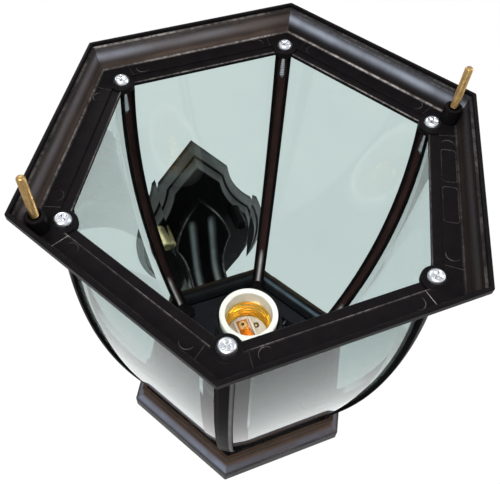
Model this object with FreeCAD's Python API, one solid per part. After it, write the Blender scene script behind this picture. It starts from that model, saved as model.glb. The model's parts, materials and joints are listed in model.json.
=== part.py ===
import FreeCAD, Part
import os
from math import asin, cos, degrees, radians, sin, sqrt, tan

# Hexagonal outdoor wall lantern, shown with its roof taken off.
# The wall is the plane y = 0 and the lantern stands off it towards -Y, with +Z up.
# The origin is the middle of the two wall fixing holes, on the wall face.
# Millimetres throughout.

# Place of the lantern
REACH = 107.0
RIM_HEIGHT = 165.0
BODY_HEIGHT = 215.0

# Top ring
RIM_ACROSS_FLATS = 180.0
RIM_EDGE_WIDTH = 1.6
RIM_EDGE_HEIGHT = 2.0
RIM_LEDGE = 1.0
RIM_BAND = 3.0
RIM_BEVEL = 1.1
CORNICE_DEPTH = 13.0
CORNICE_LEAN = 3.3
CORNICE_WALL = 1.6
CORNICE_TOE = 0.5
CORNICE_BOW = 0.6
FLANGE_WIDTH = 12.1
FLANGE_THICKNESS = 3.0
LIP_WIDTH = 2.4
LIP_STEP = 0.9
APRON_DEPTH = 3.0
APRON_WALL = 1.6
APRON_BAND = 1.0
COVE_BOW = 1.3
LUG_RADIUS = 6.0
LUG_SETBACK = 1.44
STUD_INSET = 3.3
STUD_BOSS_RADIUS = 4.3
STUD_BOSS_HEIGHT = 8.1
STUD_DIAMETER = 4.0
STUD_ROOT_DIAMETER = 5.0
STUD_RISE = 17.0

# Panes and ribs
PANE_SET = 4.0
PANE_THICKNESS = 3.0
PANE_ARC = 423.0
BELLY_DROP = 58.0
PANE_HEADROOM = 0.3
PANE_CLEARANCE = 0.3
RIB_WIDTH = 8.0
RIB_WEB = 5.2
RIB_FLANGE = 0.8
RIB_CROWN = 0.4
RIB_CLEARANCE = 0.4
RIB_FLUTE_WIDTH = 4.6
RIB_FLUTE_DEPTH = 1.6
RIB_BOSS_WALL = 0.75
RIB_BOSS_LENGTH = 12.0
TAB_INSET = 6.5
TAB_RADIUS = 4.5
TAB_THICKNESS = 5.0

# Foot
FOOT_HEIGHT = 21.2
FOOT_RIM = 2.6
FOOT_FLARE = 4.6
FOOT_BAND = 3.5
FOOT_GROOVE = 1.2
FOOT_GROOVE_HEIGHT = 1.8
FOOT_BASE_BAND = 9.0
FOOT_BASE_STEP = 0.8
FOOT_WALL = 2.6
FOOT_COVE_BOW = 1.6
FLOOR_DROP = 7.0
FLOOR_THICKNESS = 4.0
FOOT_AIR_GAP = 4.0
WEEP_X = 34.6
WEEP_Y = 16.7
WEEP_DIAMETER = 5.0
WEEP_DEPTH = 3.0
WEEP_DRAIN = 1.6

# Lamp holder
CUP_WALL = 1.5
CUP_CLEARANCE = 0.9
CUP_DROP = 4.0
STRAP_LENGTH = 30.0
STRAP_WIDTH = 18.0
STRAP_THICKNESS = 1.5
HOLDER_DIAMETER = 35.0
HOLDER_HEIGHT = 57.7
HOLDER_BORE = 28.0
HOLDER_BORE_DEPTH = 28.0
HOLDER_WELL_DIAMETER = 26.0
HOLDER_WELL_DEPTH = 5.0
HOLDER_WEB = 12.0
HOLDER_RECESS_DIAMETER = 26.0
HOLDER_RIM_ROUND = 1.2
HOLDER_SCREW_SPACING = 17.0
HOLDER_SCREW_FORWARD = 5.5
RIDGE_THICKNESS = 1.2
RIDGE_HEIGHT = 3.0
RIDGE_LENGTH = 20.0
RIDGE_CLEARANCE = 0.6
SHELL_SETBACK = 10.0
SHELL_CLEARANCE = 0.2
SHELL_SHEET = 0.6
CONTACT_WIDTH = 7.0
CONTACT_SHEET = 0.7
CONTACT_BASE_LENGTH = 6.5
CONTACT_BEND = 4.2
CONTACT_LENGTH = 8.6
CONTACT_RISE = 22.0
CONTACT_NOSE = 2.2
CONTACT_GAP = 0.1
EYELET_BORE = 2.0
EYELET_WALL = 0.5
EYELET_FLANGE = 1.1
EYELET_FLANGE_THICKNESS = 0.6
SIDE_RIVET_X = 8.1
SIDE_RIVET_Y = 4.7
SIDE_RIVET_RADIUS = 2.0
SIDE_RIVET_DOME = 1.2
SIDE_RIVET_BOW = 0.25
SIDE_RIVET_FLAT = 0.5

# Nipple that clamps foot, strap and arm together
NIPPLE_DIAMETER = 10.0
NIPPLE_BORE = 7.0
NIPPLE_STANDOUT = 1.5
NUT_ACROSS_FLATS = 14.0
NUT_HEIGHT = 5.0

# Arm
ARM_WIDTH = 28.0
ARM_DEPTH = 21.0
ARM_HEEL_DROP = 10.0
ARM_HEEL_BOW = 4.0
LEAF_HALF_WIDTH = 21.0
LEAF_HEIGHT = 78.0
LEAF_WIDEST_HEIGHT = 37.0
LEAF_WAIST_HEIGHT = 4.0
LEAF_BOW = 4.0
LEAF_WAIST_BOW = 2.0
LEAF_EDGE = 4.0
LEAF_SPRING = 12.0
ARM_ELBOW_RADIUS = 22.0
FLUTE_RADIUS = 2.8
FLUTE_SPACING = 7.0
HUB_RADIUS = 24.0
HUB_TOP_WALL = 8.0
CHAMBER_RADIUS = 16.0
WIREWAY_DIAMETER = 7.0
WIREWAY_DROP = 6.0
HUB_CAP_FLANGE = 19.0
HUB_CAP_FLANGE_THICKNESS = 2.0
HUB_CAP_SPIGOT = 5.0
HUB_CAP_DOME = 7.0
HUB_CAP_BOW = 1.2
HUB_CAP_TIP = 2.0
HUB_CAP_CLEARANCE = 0.1

# Wall plate, given as half widths and heights of its outline
PLATE_PEAK = 68.0
PLATE_SHOULDER_X = 24.0
PLATE_SHOULDER_Z = 36.0
PLATE_OGEE_X = 43.0
PLATE_OGEE_Z = -5.0
PLATE_OGEE_BOW = 3.5
PLATE_CHEEK_X = 40.3
PLATE_CHEEK_DROP = 15.0
PLATE_CHEEK_BOW = 6.2
PLATE_TIP_DROP = 78.0
PLATE_EDGE = 3.0
PLATE_DEPTH = 11.0
PLATE_STEP = 6.5
PLATE_FIRST_INSET = 4.6
PLATE_SECOND_INSET = 9.0
PLATE_FRONT_WALL = 4.5
PLATE_HOLLOW_INSET = 6.6

# Wall bracket and its fixings
MOUNT_SPACING = 51.6
BRACKET_BAR = 10.0
BRACKET_END_MARGIN = 3.4
BRACKET_STRAP_WIDTH = 20.0
BRACKET_THICKNESS = 2.5
WALL_HOLE_SPACING = 40.0
WALL_HOLE_DIAMETER = 5.0
WALL_HOLE_MARGIN = 8.0
WIRE_HOLE_DIAMETER = 12.0
MOUNT_BOLT_DIAMETER = 4.0
BARREL_NUT_DIAMETER = 8.6
BARREL_NUT_LENGTH = 17.0
BARREL_NUT_END_WALL = 3.0
BARREL_NUT_ROUND = 1.0
EARTH_SCREW_X = 14.5

# Share of a corner's radius by which a quarter round stands off its chord
ROUND_BOW = 1.0 - sqrt(0.5)

# Fasteners
SCREW_DIAMETER = 4.0
SCREW_HEAD_DIAMETER = 8.0
SCREW_HEAD_HEIGHT = 2.6
SCREW_HEAD_ROUND = 1.0
RECESS_WIDTH = 1.1
RECESS_LENGTH = 4.4
RECESS_DEPTH = 1.4
RING_SCREW_LENGTH = 11.0
RIB_SCREW_LENGTH = 8.5
ARM_SCREW_LENGTH = 14.0
ARM_SCREW_SPREAD = 22.0
ARM_SCREW_RISE = 16.0
ARM_SCREW_DROP = 22.0
HOLDER_SCREW_DIAMETER = 3.0
HOLDER_SCREW_HEAD_DIAMETER = 5.0
HOLDER_SCREW_HEAD_HEIGHT = 1.8
EARTH_SCREW_LENGTH = 5.0
HOLE_CLEARANCE = 0.2
THREAD_CLEARANCE = 0.1

# Leads
LEAD_DIAMETER = 2.2
LEAD_SPACING = 3.2
LEAD_BEND = 6.0
LEAD_END_GAP = 3.5

# Levels that follow from the sizes above
CORNER = radians(30.0)
FLANGE_TOP = RIM_HEIGHT - CORNICE_DEPTH
FLANGE_UNDER = FLANGE_TOP - FLANGE_THICKNESS
APRON_BOTTOM = FLANGE_UNDER - APRON_DEPTH
BELLY = RIM_HEIGHT - BELLY_DROP
FOOT_BOTTOM = RIM_HEIGHT - BODY_HEIGHT
FOOT_TOP = FOOT_BOTTOM + FOOT_HEIGHT
FLOOR_TOP = FOOT_TOP - FLOOR_DROP
FLOOR_UNDER = FLOOR_TOP - FLOOR_THICKNESS
CUP_BASE_TOP = FLOOR_TOP + CUP_WALL
STRAP_TOP = CUP_BASE_TOP + STRAP_THICKNESS
HOLDER_TOP = STRAP_TOP + HOLDER_HEIGHT
HOLDER_FLOOR = HOLDER_TOP - HOLDER_BORE_DEPTH
SHELL_LEDGE = HOLDER_FLOOR + HOLDER_WELL_DEPTH
HOLDER_RECESS_TOP = HOLDER_FLOOR - HOLDER_WEB
NIPPLE_TOP = STRAP_TOP + NUT_HEIGHT + NIPPLE_STANDOUT
CHAMBER_TOP = FLOOR_UNDER - HUB_TOP_WALL
NIPPLE_BOTTOM = CHAMBER_TOP - NUT_HEIGHT - NIPPLE_STANDOUT
ARM_TOP = FOOT_BOTTOM - FOOT_AIR_GAP
ARM_BOTTOM = ARM_TOP - ARM_DEPTH
WIREWAY_LEVEL = ARM_TOP - WIREWAY_DROP
LEAF_TOP = ARM_TOP + LEAF_HEIGHT
LEAF_WIDEST = ARM_TOP + LEAF_WIDEST_HEIGHT
LEAF_WAIST = ARM_TOP + LEAF_WAIST_HEIGHT
ARM_SCREW_UPPER = ARM_TOP + ARM_SCREW_RISE
ARM_SCREW_LOWER = ARM_TOP - ARM_SCREW_DROP
PLATE_CHEEK_Z = ARM_TOP - PLATE_CHEEK_DROP
PLATE_TIP = ARM_TOP - PLATE_TIP_DROP

# Widths that follow from the sizes above, measured square to a flat of the hexagon
RIM_OUT = RIM_ACROSS_FLATS / 2.0
FLANGE_OUT = RIM_OUT - RIM_EDGE_WIDTH - RIM_LEDGE - CORNICE_LEAN
OPENING = FLANGE_OUT - FLANGE_WIDTH
PANE_MIDDLE = OPENING + PANE_SET
PANE_EDGE_GAP = RIB_WEB / 2.0 + PANE_CLEARANCE

# Arc of the ribs, which runs along the corners where the panes would meet
FLOOR_RUN = BELLY - FLOOR_TOP
FLOOR_SAG = (PANE_ARC - sqrt(PANE_ARC ** 2 - FLOOR_RUN ** 2)) / cos(CORNER)
RIB_ARC = (FLOOR_RUN ** 2 + FLOOR_SAG ** 2) / (2.0 * FLOOR_SAG)
RIB_MIDDLE = PANE_MIDDLE / cos(CORNER)
RIB_INNER = (PANE_MIDDLE - PANE_THICKNESS / 2.0 - PANE_CLEARANCE) / cos(CORNER)
RIB_OUTER = (PANE_MIDDLE + PANE_THICKNESS / 2.0 + PANE_CLEARANCE) / cos(CORNER)
RIB_SKIN = RIB_FLANGE / cos(CORNER)
RIB_SLANT = tan(CORNER)
RIB_EDGE = RIB_OUTER + RIB_SKIN - RIB_SLANT * RIB_WIDTH / 2.0
RIB_CROWN_RADIUS = ((RIB_WIDTH / 2.0) ** 2 + RIB_CROWN ** 2) / (2.0 * RIB_CROWN)
RIB_BULGE = RIB_CROWN_RADIUS - (RIB_CROWN_RADIUS - RIB_CROWN) * cos(CORNER)

# Circles on which corner fasteners lie
SCREW_CIRCLE = OPENING / cos(CORNER) + LUG_SETBACK
STUD_CIRCLE = FLANGE_OUT / cos(CORNER) - STUD_INSET
TAB_CIRCLE = (RIB_INNER - FLOOR_SAG) - TAB_INSET

CORNERS = {"left": 180, "back_left": 120, "back_right": 60, "right": 0,
           "front_right": -60, "front_left": -120}
FLATS = {"back": 90, "back_right": 30, "front_right": -30, "front": -90,
         "front_left": -150, "back_left": 150}
UP = FreeCAD.Vector(0, 0, 1)
TO_ROOM = FreeCAD.Vector(0, -1, 0)


def vec(x, y, z):
    return FreeCAD.Vector(x, y, z)


def side_view(u, v):
    """Drawing plane of a section through the lantern: distance from its axis, height."""
    return vec(u, 0, v)


def front_view(u, v):
    """Drawing plane seen from the room: sideways, height."""
    return vec(u, 0, v)


def plan_view(u, v):
    """Drawing plane seen from above."""
    return vec(u, v, 0)


def arm_view(u, v):
    """Drawing plane of the arm's side: distance along y, height."""
    return vec(0, u, v)


def bow_point(start, end, bow):
    """Middle of an arc that stands off its chord by bow, to the left of the way it runs."""
    run_u, run_v = end[0] - start[0], end[1] - start[1]
    length = sqrt(run_u ** 2 + run_v ** 2)
    return ((start[0] + end[0]) / 2.0 - bow * run_v / length,
            (start[1] + end[1]) / 2.0 + bow * run_u / length)


def loop(points, view):
    """Closed face through 2-D points; a third number bows the line that arrives there."""
    edges = []
    for start, end in zip(points, points[1:] + points[:1]):
        first, last = view(*start[:2]), view(*end[:2])
        if len(end) == 3:
            middle = view(*bow_point(start, end, end[2]))
            edges.append(Part.Arc(first, middle, last).toShape())
        else:
            edges.append(Part.LineSegment(first, last).toShape())
    return Part.Face(Part.Wire(edges))


def turn(shape, angle):
    """Copy of a shape turned about the lantern's axis."""
    copy = shape.copy()
    copy.rotate(vec(0, 0, 0), UP, angle)
    return copy


def move(shape, x, y, z):
    copy = shape.copy()
    copy.translate(vec(x, y, z))
    return copy


def at_lantern(shape):
    """Carries a shape from the lantern's axis to the lantern's place off the wall."""
    return move(shape, 0, -REACH, 0)


def rod(radius, low, high, x=0.0, y=0.0):
    """Upright cylinder between two levels."""
    return Part.makeCylinder(radius, high - low, vec(x, y, low), UP)


def peg(radius, back, front, x, z):
    """Cylinder square to the wall, between two distances y."""
    return Part.makeCylinder(radius, back - front, vec(x, back, z), TO_ROOM)


def corner_point(radius, angle):
    return radius * cos(radians(angle)), radius * sin(radians(angle))


def hexagon(flat, low, high):
    """Hexagonal prism with flats square to the face directions."""
    radius = flat / cos(CORNER)
    points = [corner_point(radius, angle) for angle in range(0, 360, 60)]
    prism = loop(points, plan_view).extrude(vec(0, 0, high - low))
    return move(prism, 0, 0, low)


def hex_sweep(points):
    """Section carried round the hexagon with mitred corners."""
    widest = max(point[0] for point in points)
    heights = [point[1] for point in points]
    low, high = min(heights), max(heights)
    half = widest * tan(CORNER) + RIB_WIDTH
    bar = move(loop(points, side_view), 0, -half, 0).extrude(vec(0, 2.0 * half, 0))
    far = widest + RIB_WIDTH
    mitre = [(0, 0), (far, -far * tan(CORNER)), (far, far * tan(CORNER))]
    wedge = loop(mitre, plan_view).extrude(vec(0, 0, high - low + 2.0 * RIB_WIDTH))
    side = bar.common(move(wedge, 0, 0, low - RIB_WIDTH))
    sides = [turn(side, angle) for angle in FLATS.values()]
    return sides[0].multiFuse(sides[1:]).removeSplitter()


def spun(points, x=0.0, y=0.0):
    """Section turned round an upright axis."""
    return move(loop(points, side_view).revolve(vec(0, 0, 0), UP, 360), x, y, 0)


def joined(shapes):
    return shapes[0].multiFuse(shapes[1:]).removeSplitter()


def rounded_path(points, radius):
    """Straight runs joined by tangent arcs of one radius."""
    edges = []
    start = points[0]
    for before, corner, after in zip(points, points[1:], points[2:]):
        back, ahead = (before - corner).normalize(), (after - corner).normalize()
        half = back.getAngle(ahead) / 2.0
        inward = (back + ahead).normalize()
        first, last = corner + back * (radius / tan(half)), corner + ahead * (radius / tan(half))
        middle = corner + inward * (radius / sin(half) - radius)
        edges.append(Part.LineSegment(start, first).toShape())
        edges.append(Part.Arc(first, middle, last).toShape())
        start = last
    edges.append(Part.LineSegment(start, points[-1]).toShape())
    return Part.Wire(edges)


def pipe(points, bend, radius):
    """Round bar along a rounded path."""
    path = rounded_path(points, bend)
    ring = Part.Wire(Part.makeCircle(radius, points[0], points[1] - points[0]))
    return path.makePipeShell([ring], True, False)


def rib_flat(level):
    """Distance, square to a flat of the hexagon, that clears the ribs at a level."""
    arc = RIB_ARC + RIB_EDGE - RIB_MIDDLE
    edge = RIB_MIDDLE - RIB_ARC + sqrt(arc ** 2 - (level - BELLY) ** 2)
    return edge * cos(CORNER) + RIB_BULGE + RIB_CLEARANCE


def pan_screw(diameter, head, head_height, length):
    """Screw with its head's seat at z = 0, pointing down, with a cross recess."""
    crown = head / 2.0 - SCREW_HEAD_ROUND
    profile = [(0, -length), (diameter / 2.0, -length), (diameter / 2.0, 0), (head / 2.0, 0),
               (head / 2.0, head_height - SCREW_HEAD_ROUND),
               (crown, head_height, -ROUND_BOW * SCREW_HEAD_ROUND), (0, head_height)]
    screw = spun(profile)
    share = head / SCREW_HEAD_DIAMETER
    long, wide = RECESS_LENGTH * share, RECESS_WIDTH * share
    depth = RECESS_DEPTH * share
    slot = Part.makeBox(long, wide, depth, vec(-long / 2.0, -wide / 2.0, head_height - depth))
    return screw.cut(joined([slot, turn(slot, 90)]))


def machine_screw(length):
    return pan_screw(SCREW_DIAMETER, SCREW_HEAD_DIAMETER, SCREW_HEAD_HEIGHT, length)


def to_room(shape, x, y, z):
    """Lays a shape that points down so that it points to the room from a seat at y."""
    copy = shape.copy()
    copy.rotate(vec(0, 0, 0), vec(1, 0, 0), -90)
    return move(copy, x, y, z)


# Top ring

def ring_section():
    apron_out = apron_inner() + APRON_WALL
    return [
        (RIM_OUT - RIM_EDGE_WIDTH, RIM_HEIGHT),
        (RIM_OUT - RIM_EDGE_WIDTH, RIM_HEIGHT - RIM_EDGE_HEIGHT),
        (RIM_OUT - RIM_EDGE_WIDTH - RIM_LEDGE, RIM_HEIGHT - RIM_EDGE_HEIGHT),
        (FLANGE_OUT, FLANGE_TOP, CORNICE_BOW),
        (OPENING + LIP_WIDTH, FLANGE_TOP),
        (OPENING + LIP_WIDTH, FLANGE_TOP - LIP_STEP),
        (OPENING, FLANGE_TOP - LIP_STEP),
        (OPENING, FLANGE_UNDER),
        (apron_inner(), FLANGE_UNDER),
        (apron_inner(), APRON_BOTTOM),
        (apron_out, APRON_BOTTOM),
        (apron_out, APRON_BOTTOM + APRON_BAND),
        (FLANGE_OUT + CORNICE_TOE, FLANGE_UNDER, COVE_BOW),
        (FLANGE_OUT + CORNICE_WALL, FLANGE_TOP),
        (RIM_OUT - RIM_BEVEL, RIM_HEIGHT - RIM_BAND - RIM_BEVEL, CORNICE_BOW),
        (RIM_OUT, RIM_HEIGHT - RIM_BAND),
        (RIM_OUT, RIM_HEIGHT),
    ]


def apron_inner():
    """Inside of the apron, clear of the ribs that stand up into it."""
    return rib_flat(APRON_BOTTOM)


def make_top_ring():
    lugs, holes = [], []
    for angle in CORNERS.values():
        x, y = corner_point(SCREW_CIRCLE, angle)
        lugs.append(rod(LUG_RADIUS, FLANGE_UNDER, FLANGE_TOP, x, y))
        holes.append(rod(SCREW_DIAMETER / 2.0 + HOLE_CLEARANCE, FLANGE_UNDER, FLANGE_TOP, x, y))
    for angle in (CORNERS["left"], CORNERS["right"]):
        x, y = corner_point(STUD_CIRCLE, angle)
        lugs.append(rod(STUD_BOSS_RADIUS, FLANGE_TOP, FLANGE_TOP + STUD_BOSS_HEIGHT, x, y))
        bore = STUD_ROOT_DIAMETER / 2.0 + THREAD_CLEARANCE
        holes.append(rod(bore, FLANGE_UNDER, FLANGE_TOP + STUD_BOSS_HEIGHT, x, y))
    ring = joined([hex_sweep(ring_section())] + lugs)
    return at_lantern(ring.cut(Part.makeCompound(holes)))


def make_roof_studs():
    studs = []
    for angle in (CORNERS["left"], CORNERS["right"]):
        x, y = corner_point(STUD_CIRCLE, angle)
        boss_top = FLANGE_TOP + STUD_BOSS_HEIGHT
        root = rod(STUD_ROOT_DIAMETER / 2.0, FLANGE_UNDER, boss_top, x, y)
        studs.append(joined([root, rod(STUD_DIAMETER / 2.0, boss_top, RIM_HEIGHT + STUD_RISE, x, y)]))
    return at_lantern(Part.makeCompound(studs))


def make_ring_screws():
    screws = []
    for angle in CORNERS.values():
        x, y = corner_point(SCREW_CIRCLE, angle)
        screws.append(move(machine_screw(RING_SCREW_LENGTH), x, y, FLANGE_TOP))
    return at_lantern(Part.makeCompound(screws))


# Ribs and panes

def rib_section():
    """Corner bar: fluted inside, crowned outside, with a groove for a pane on each side."""
    half, web, flute = RIB_WIDTH / 2.0, RIB_WEB / 2.0, RIB_FLUTE_WIDTH / 2.0
    right = [
        (RIB_INNER - RIB_SKIN - RIB_SLANT * flute, flute, -RIB_FLUTE_DEPTH),
        (RIB_INNER - RIB_SKIN - RIB_SLANT * half, half),
        (RIB_INNER - RIB_SLANT * half, half),
        (RIB_INNER - RIB_SLANT * web, web),
        (RIB_OUTER - RIB_SLANT * web, web),
        (RIB_OUTER - RIB_SLANT * half, half),
        (RIB_OUTER + RIB_SKIN - RIB_SLANT * half, half),
    ]
    left = [(reach, -across) for reach, across, *_ in reversed(right)]
    crown = (left[0][0], left[0][1], RIB_CROWN)
    return right + [crown] + left[1:]


def make_rib(angle):
    section = move(loop(rib_section(), plan_view), 0, 0, BELLY)
    hinge = vec(RIB_MIDDLE - RIB_ARC, 0, BELLY)
    above = degrees(asin((FLANGE_UNDER - BELLY + RIB_WIDTH) / RIB_ARC))
    below = degrees(asin((BELLY - FLOOR_TOP + RIB_WIDTH) / RIB_ARC))
    section.rotate(hinge, vec(0, 1, 0), -above)
    bar = section.revolve(hinge, vec(0, 1, 0), above + below)
    slab = Part.makeBox(2.0 * RIM_OUT, 2.0 * RIM_OUT, FLANGE_UNDER - FLOOR_TOP,
                        vec(0, -RIM_OUT, FLOOR_TOP))
    core = SCREW_DIAMETER / 2.0 + THREAD_CLEARANCE
    boss = rod(core + RIB_BOSS_WALL, FLANGE_UNDER - RIB_BOSS_LENGTH, FLANGE_UNDER, SCREW_CIRCLE)
    tab = rod(TAB_RADIUS, FLOOR_TOP, FLOOR_TOP + TAB_THICKNESS, TAB_CIRCLE)
    neck = Part.makeBox(RIB_MIDDLE - FLOOR_SAG - TAB_CIRCLE, RIB_WEB, TAB_THICKNESS,
                        vec(TAB_CIRCLE, -RIB_WEB / 2.0, FLOOR_TOP))
    rib = joined([bar.common(slab), boss, tab, neck])
    bottom = FLANGE_UNDER - RIB_BOSS_LENGTH
    holes = [rod(core, bottom, FLANGE_UNDER, SCREW_CIRCLE),
             rod(core, FLOOR_TOP, FLOOR_TOP + TAB_THICKNESS, TAB_CIRCLE)]
    return at_lantern(turn(rib.cut(Part.makeCompound(holes)), angle))


def make_pane(angle):
    centre = vec(PANE_MIDDLE - PANE_ARC, -RIM_OUT, BELLY)
    outer = Part.makeCylinder(PANE_ARC + PANE_THICKNESS / 2.0, 2.0 * RIM_OUT, centre, vec(0, 1, 0))
    inner = Part.makeCylinder(PANE_ARC - PANE_THICKNESS / 2.0, 2.0 * RIM_OUT, centre, vec(0, 1, 0))
    apex = PANE_EDGE_GAP / sin(CORNER)
    half = (RIM_OUT - apex) * tan(CORNER)
    sector = loop([(apex, 0), (RIM_OUT, -half), (RIM_OUT, half)], plan_view)
    high = FLANGE_UNDER - PANE_HEADROOM
    prism = move(sector.extrude(vec(0, 0, high - FLOOR_TOP)), 0, 0, FLOOR_TOP)
    return at_lantern(turn(prism.common(outer).cut(inner), angle))


# Foot

def make_foot():
    recess_top = rib_flat(FOOT_TOP)
    recess_bottom = rib_flat(FLOOR_TOP)
    top = recess_top + FOOT_RIM
    base = top + FOOT_FLARE
    groove_top = FOOT_TOP - FOOT_BAND
    section = [
        (recess_top, FOOT_TOP),
        (recess_bottom, FLOOR_TOP),
        (recess_bottom, FLOOR_UNDER),
        (base - FOOT_WALL, FOOT_BOTTOM),
        (base, FOOT_BOTTOM),
        (base, FOOT_BOTTOM + FOOT_BASE_BAND),
        (base - FOOT_BASE_STEP, FOOT_BOTTOM + FOOT_BASE_BAND),
        (top - FOOT_GROOVE, groove_top - FOOT_GROOVE_HEIGHT, FOOT_COVE_BOW),
        (top - FOOT_GROOVE, groove_top),
        (top, groove_top),
        (top, FOOT_TOP),
    ]
    web = hexagon(recess_bottom + FOOT_RIM / 2.0, FLOOR_UNDER, FLOOR_TOP)
    foot = joined([hex_sweep(section), web])
    through = FLOOR_UNDER - FOOT_WALL, FLOOR_TOP + FOOT_WALL
    sink = rod(WEEP_DIAMETER / 2.0, FLOOR_TOP - WEEP_DEPTH, FLOOR_TOP + FOOT_WALL, WEEP_X, WEEP_Y)
    weep = sink.fuse(rod(WEEP_DRAIN / 2.0, *through, WEEP_X, WEEP_Y))
    holes = [rod(NIPPLE_DIAMETER / 2.0 + HOLE_CLEARANCE, *through), weep]
    for angle in CORNERS.values():
        x, y = corner_point(TAB_CIRCLE, angle)
        holes.append(rod(SCREW_DIAMETER / 2.0 + HOLE_CLEARANCE, *through, x, y))
    return at_lantern(foot.cut(Part.makeCompound(holes)))


def make_rib_screws():
    screw = machine_screw(RIB_SCREW_LENGTH)
    screw.rotate(vec(0, 0, 0), vec(1, 0, 0), 180)
    screws = []
    for angle in CORNERS.values():
        x, y = corner_point(TAB_CIRCLE, angle)
        screws.append(move(screw, x, y, FLOOR_UNDER))
    return at_lantern(Part.makeCompound(screws))


# Lamp holder

def make_holder_cup():
    inside = HOLDER_DIAMETER / 2.0 + CUP_CLEARANCE
    outside = inside + CUP_WALL
    hole = NIPPLE_DIAMETER / 2.0 + HOLE_CLEARANCE
    top = HOLDER_TOP - CUP_DROP
    cup = spun([(hole, FLOOR_TOP), (outside, FLOOR_TOP), (outside, top), (inside, top),
                (inside, CUP_BASE_TOP), (hole, CUP_BASE_TOP)])
    return at_lantern(cup)


def holder_screw_places():
    side = HOLDER_SCREW_SPACING / 2.0
    return [(-side, -HOLDER_SCREW_FORWARD), (side, -HOLDER_SCREW_FORWARD)]


def make_holder_strap():
    strap = Part.makeBox(STRAP_LENGTH, STRAP_WIDTH, STRAP_THICKNESS,
                         vec(-STRAP_LENGTH / 2.0, -STRAP_WIDTH / 2.0, CUP_BASE_TOP))
    holes = [rod(NIPPLE_DIAMETER / 2.0 + HOLE_CLEARANCE, CUP_BASE_TOP, STRAP_TOP)]
    for x, y in holder_screw_places():
        holes.append(rod(HOLDER_SCREW_DIAMETER / 2.0 + THREAD_CLEARANCE, CUP_BASE_TOP, STRAP_TOP, x, y))
    return at_lantern(strap.cut(Part.makeCompound(holes)))


def make_holder_body():
    outside, bore = HOLDER_DIAMETER / 2.0, HOLDER_BORE / 2.0
    recess, well = HOLDER_RECESS_DIAMETER / 2.0, HOLDER_WELL_DIAMETER / 2.0
    section = [
        (0, HOLDER_FLOOR), (0, HOLDER_RECESS_TOP), (recess, HOLDER_RECESS_TOP), (recess, STRAP_TOP),
        (outside, STRAP_TOP), (outside, HOLDER_TOP - HOLDER_RIM_ROUND),
        (outside - HOLDER_RIM_ROUND, HOLDER_TOP, -ROUND_BOW * HOLDER_RIM_ROUND),
        (bore + HOLDER_RIM_ROUND, HOLDER_TOP),
        (bore, HOLDER_TOP - HOLDER_RIM_ROUND, -ROUND_BOW * HOLDER_RIM_ROUND), (bore, SHELL_LEDGE),
        (well, SHELL_LEDGE), (well, HOLDER_FLOOR),
    ]
    ridges = []
    gap = CONTACT_WIDTH / 2.0 + RIDGE_CLEARANCE
    for x in (-gap - RIDGE_THICKNESS, gap):
        ridges.append(Part.makeBox(RIDGE_THICKNESS, RIDGE_LENGTH, RIDGE_HEIGHT,
                                   vec(x, -RIDGE_LENGTH / 2.0, HOLDER_FLOOR)))
    body = joined([spun(section)] + ridges)
    eyelet = EYELET_BORE / 2.0 + EYELET_WALL + THREAD_CLEARANCE
    holes = [rod(eyelet, HOLDER_RECESS_TOP, HOLDER_FLOOR, 0, eyelet_y()),
             rod(SIDE_RIVET_RADIUS / 2.0 + THREAD_CLEARANCE, HOLDER_RECESS_TOP, HOLDER_FLOOR,
                 SIDE_RIVET_X, SIDE_RIVET_Y)]
    for x, y in holder_screw_places():
        holes.append(rod(HOLDER_SCREW_DIAMETER / 2.0 + HOLE_CLEARANCE, HOLDER_RECESS_TOP, HOLDER_FLOOR,
                         x, y))
    return at_lantern(body.cut(Part.makeCompound(holes)))


def make_holder_screws():
    length = HOLDER_FLOOR - CUP_BASE_TOP
    screws = []
    for x, y in holder_screw_places():
        screw = pan_screw(HOLDER_SCREW_DIAMETER, HOLDER_SCREW_HEAD_DIAMETER,
                          HOLDER_SCREW_HEAD_HEIGHT, length)
        screws.append(move(screw, x, y, HOLDER_FLOOR))
    return at_lantern(Part.makeCompound(screws))


def make_screw_shell():
    """Brass shell for the lamp's thread, on the ledge above the contacts."""
    outer = HOLDER_BORE / 2.0 - SHELL_CLEARANCE
    inner = outer - SHELL_SHEET
    top = HOLDER_TOP - SHELL_SETBACK
    return at_lantern(rod(outer, SHELL_LEDGE, top).cut(rod(inner, SHELL_LEDGE, top)))


# Contacts

def eyelet_y():
    return CONTACT_BEND + CONTACT_BASE_LENGTH / 2.0


def make_contact_base():
    base = Part.makeBox(CONTACT_WIDTH, CONTACT_BASE_LENGTH, CONTACT_SHEET,
                        vec(-CONTACT_WIDTH / 2.0, CONTACT_BEND, HOLDER_FLOOR))
    hole = rod(EYELET_BORE / 2.0 + EYELET_WALL + THREAD_CLEARANCE, HOLDER_FLOOR,
               HOLDER_FLOOR + CONTACT_SHEET, 0, eyelet_y())
    return at_lantern(base.cut(hole))


def make_contact_tongue():
    """Sprung strip that rises from the bend towards the lamp, with its end turned down."""
    tilt = radians(CONTACT_RISE)
    start = CONTACT_BEND - CONTACT_GAP
    low = HOLDER_FLOOR + CONTACT_GAP
    end_y, end_z = start - CONTACT_LENGTH * cos(tilt), low + CONTACT_LENGTH * sin(tilt)
    nose_y, nose_z = end_y - CONTACT_NOSE * cos(tilt), end_z - CONTACT_NOSE * sin(tilt)
    thick_y, thick_z = CONTACT_SHEET * sin(tilt), CONTACT_SHEET * cos(tilt)
    section = [(start, low), (start, low + CONTACT_SHEET), (end_y + thick_y, end_z + thick_z),
               (nose_y - thick_y, nose_z + thick_z), (nose_y, nose_z), (end_y, end_z)]
    strip = loop(section, arm_view).extrude(vec(CONTACT_WIDTH, 0, 0))
    return at_lantern(move(strip, -CONTACT_WIDTH / 2.0, 0, 0))


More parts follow.
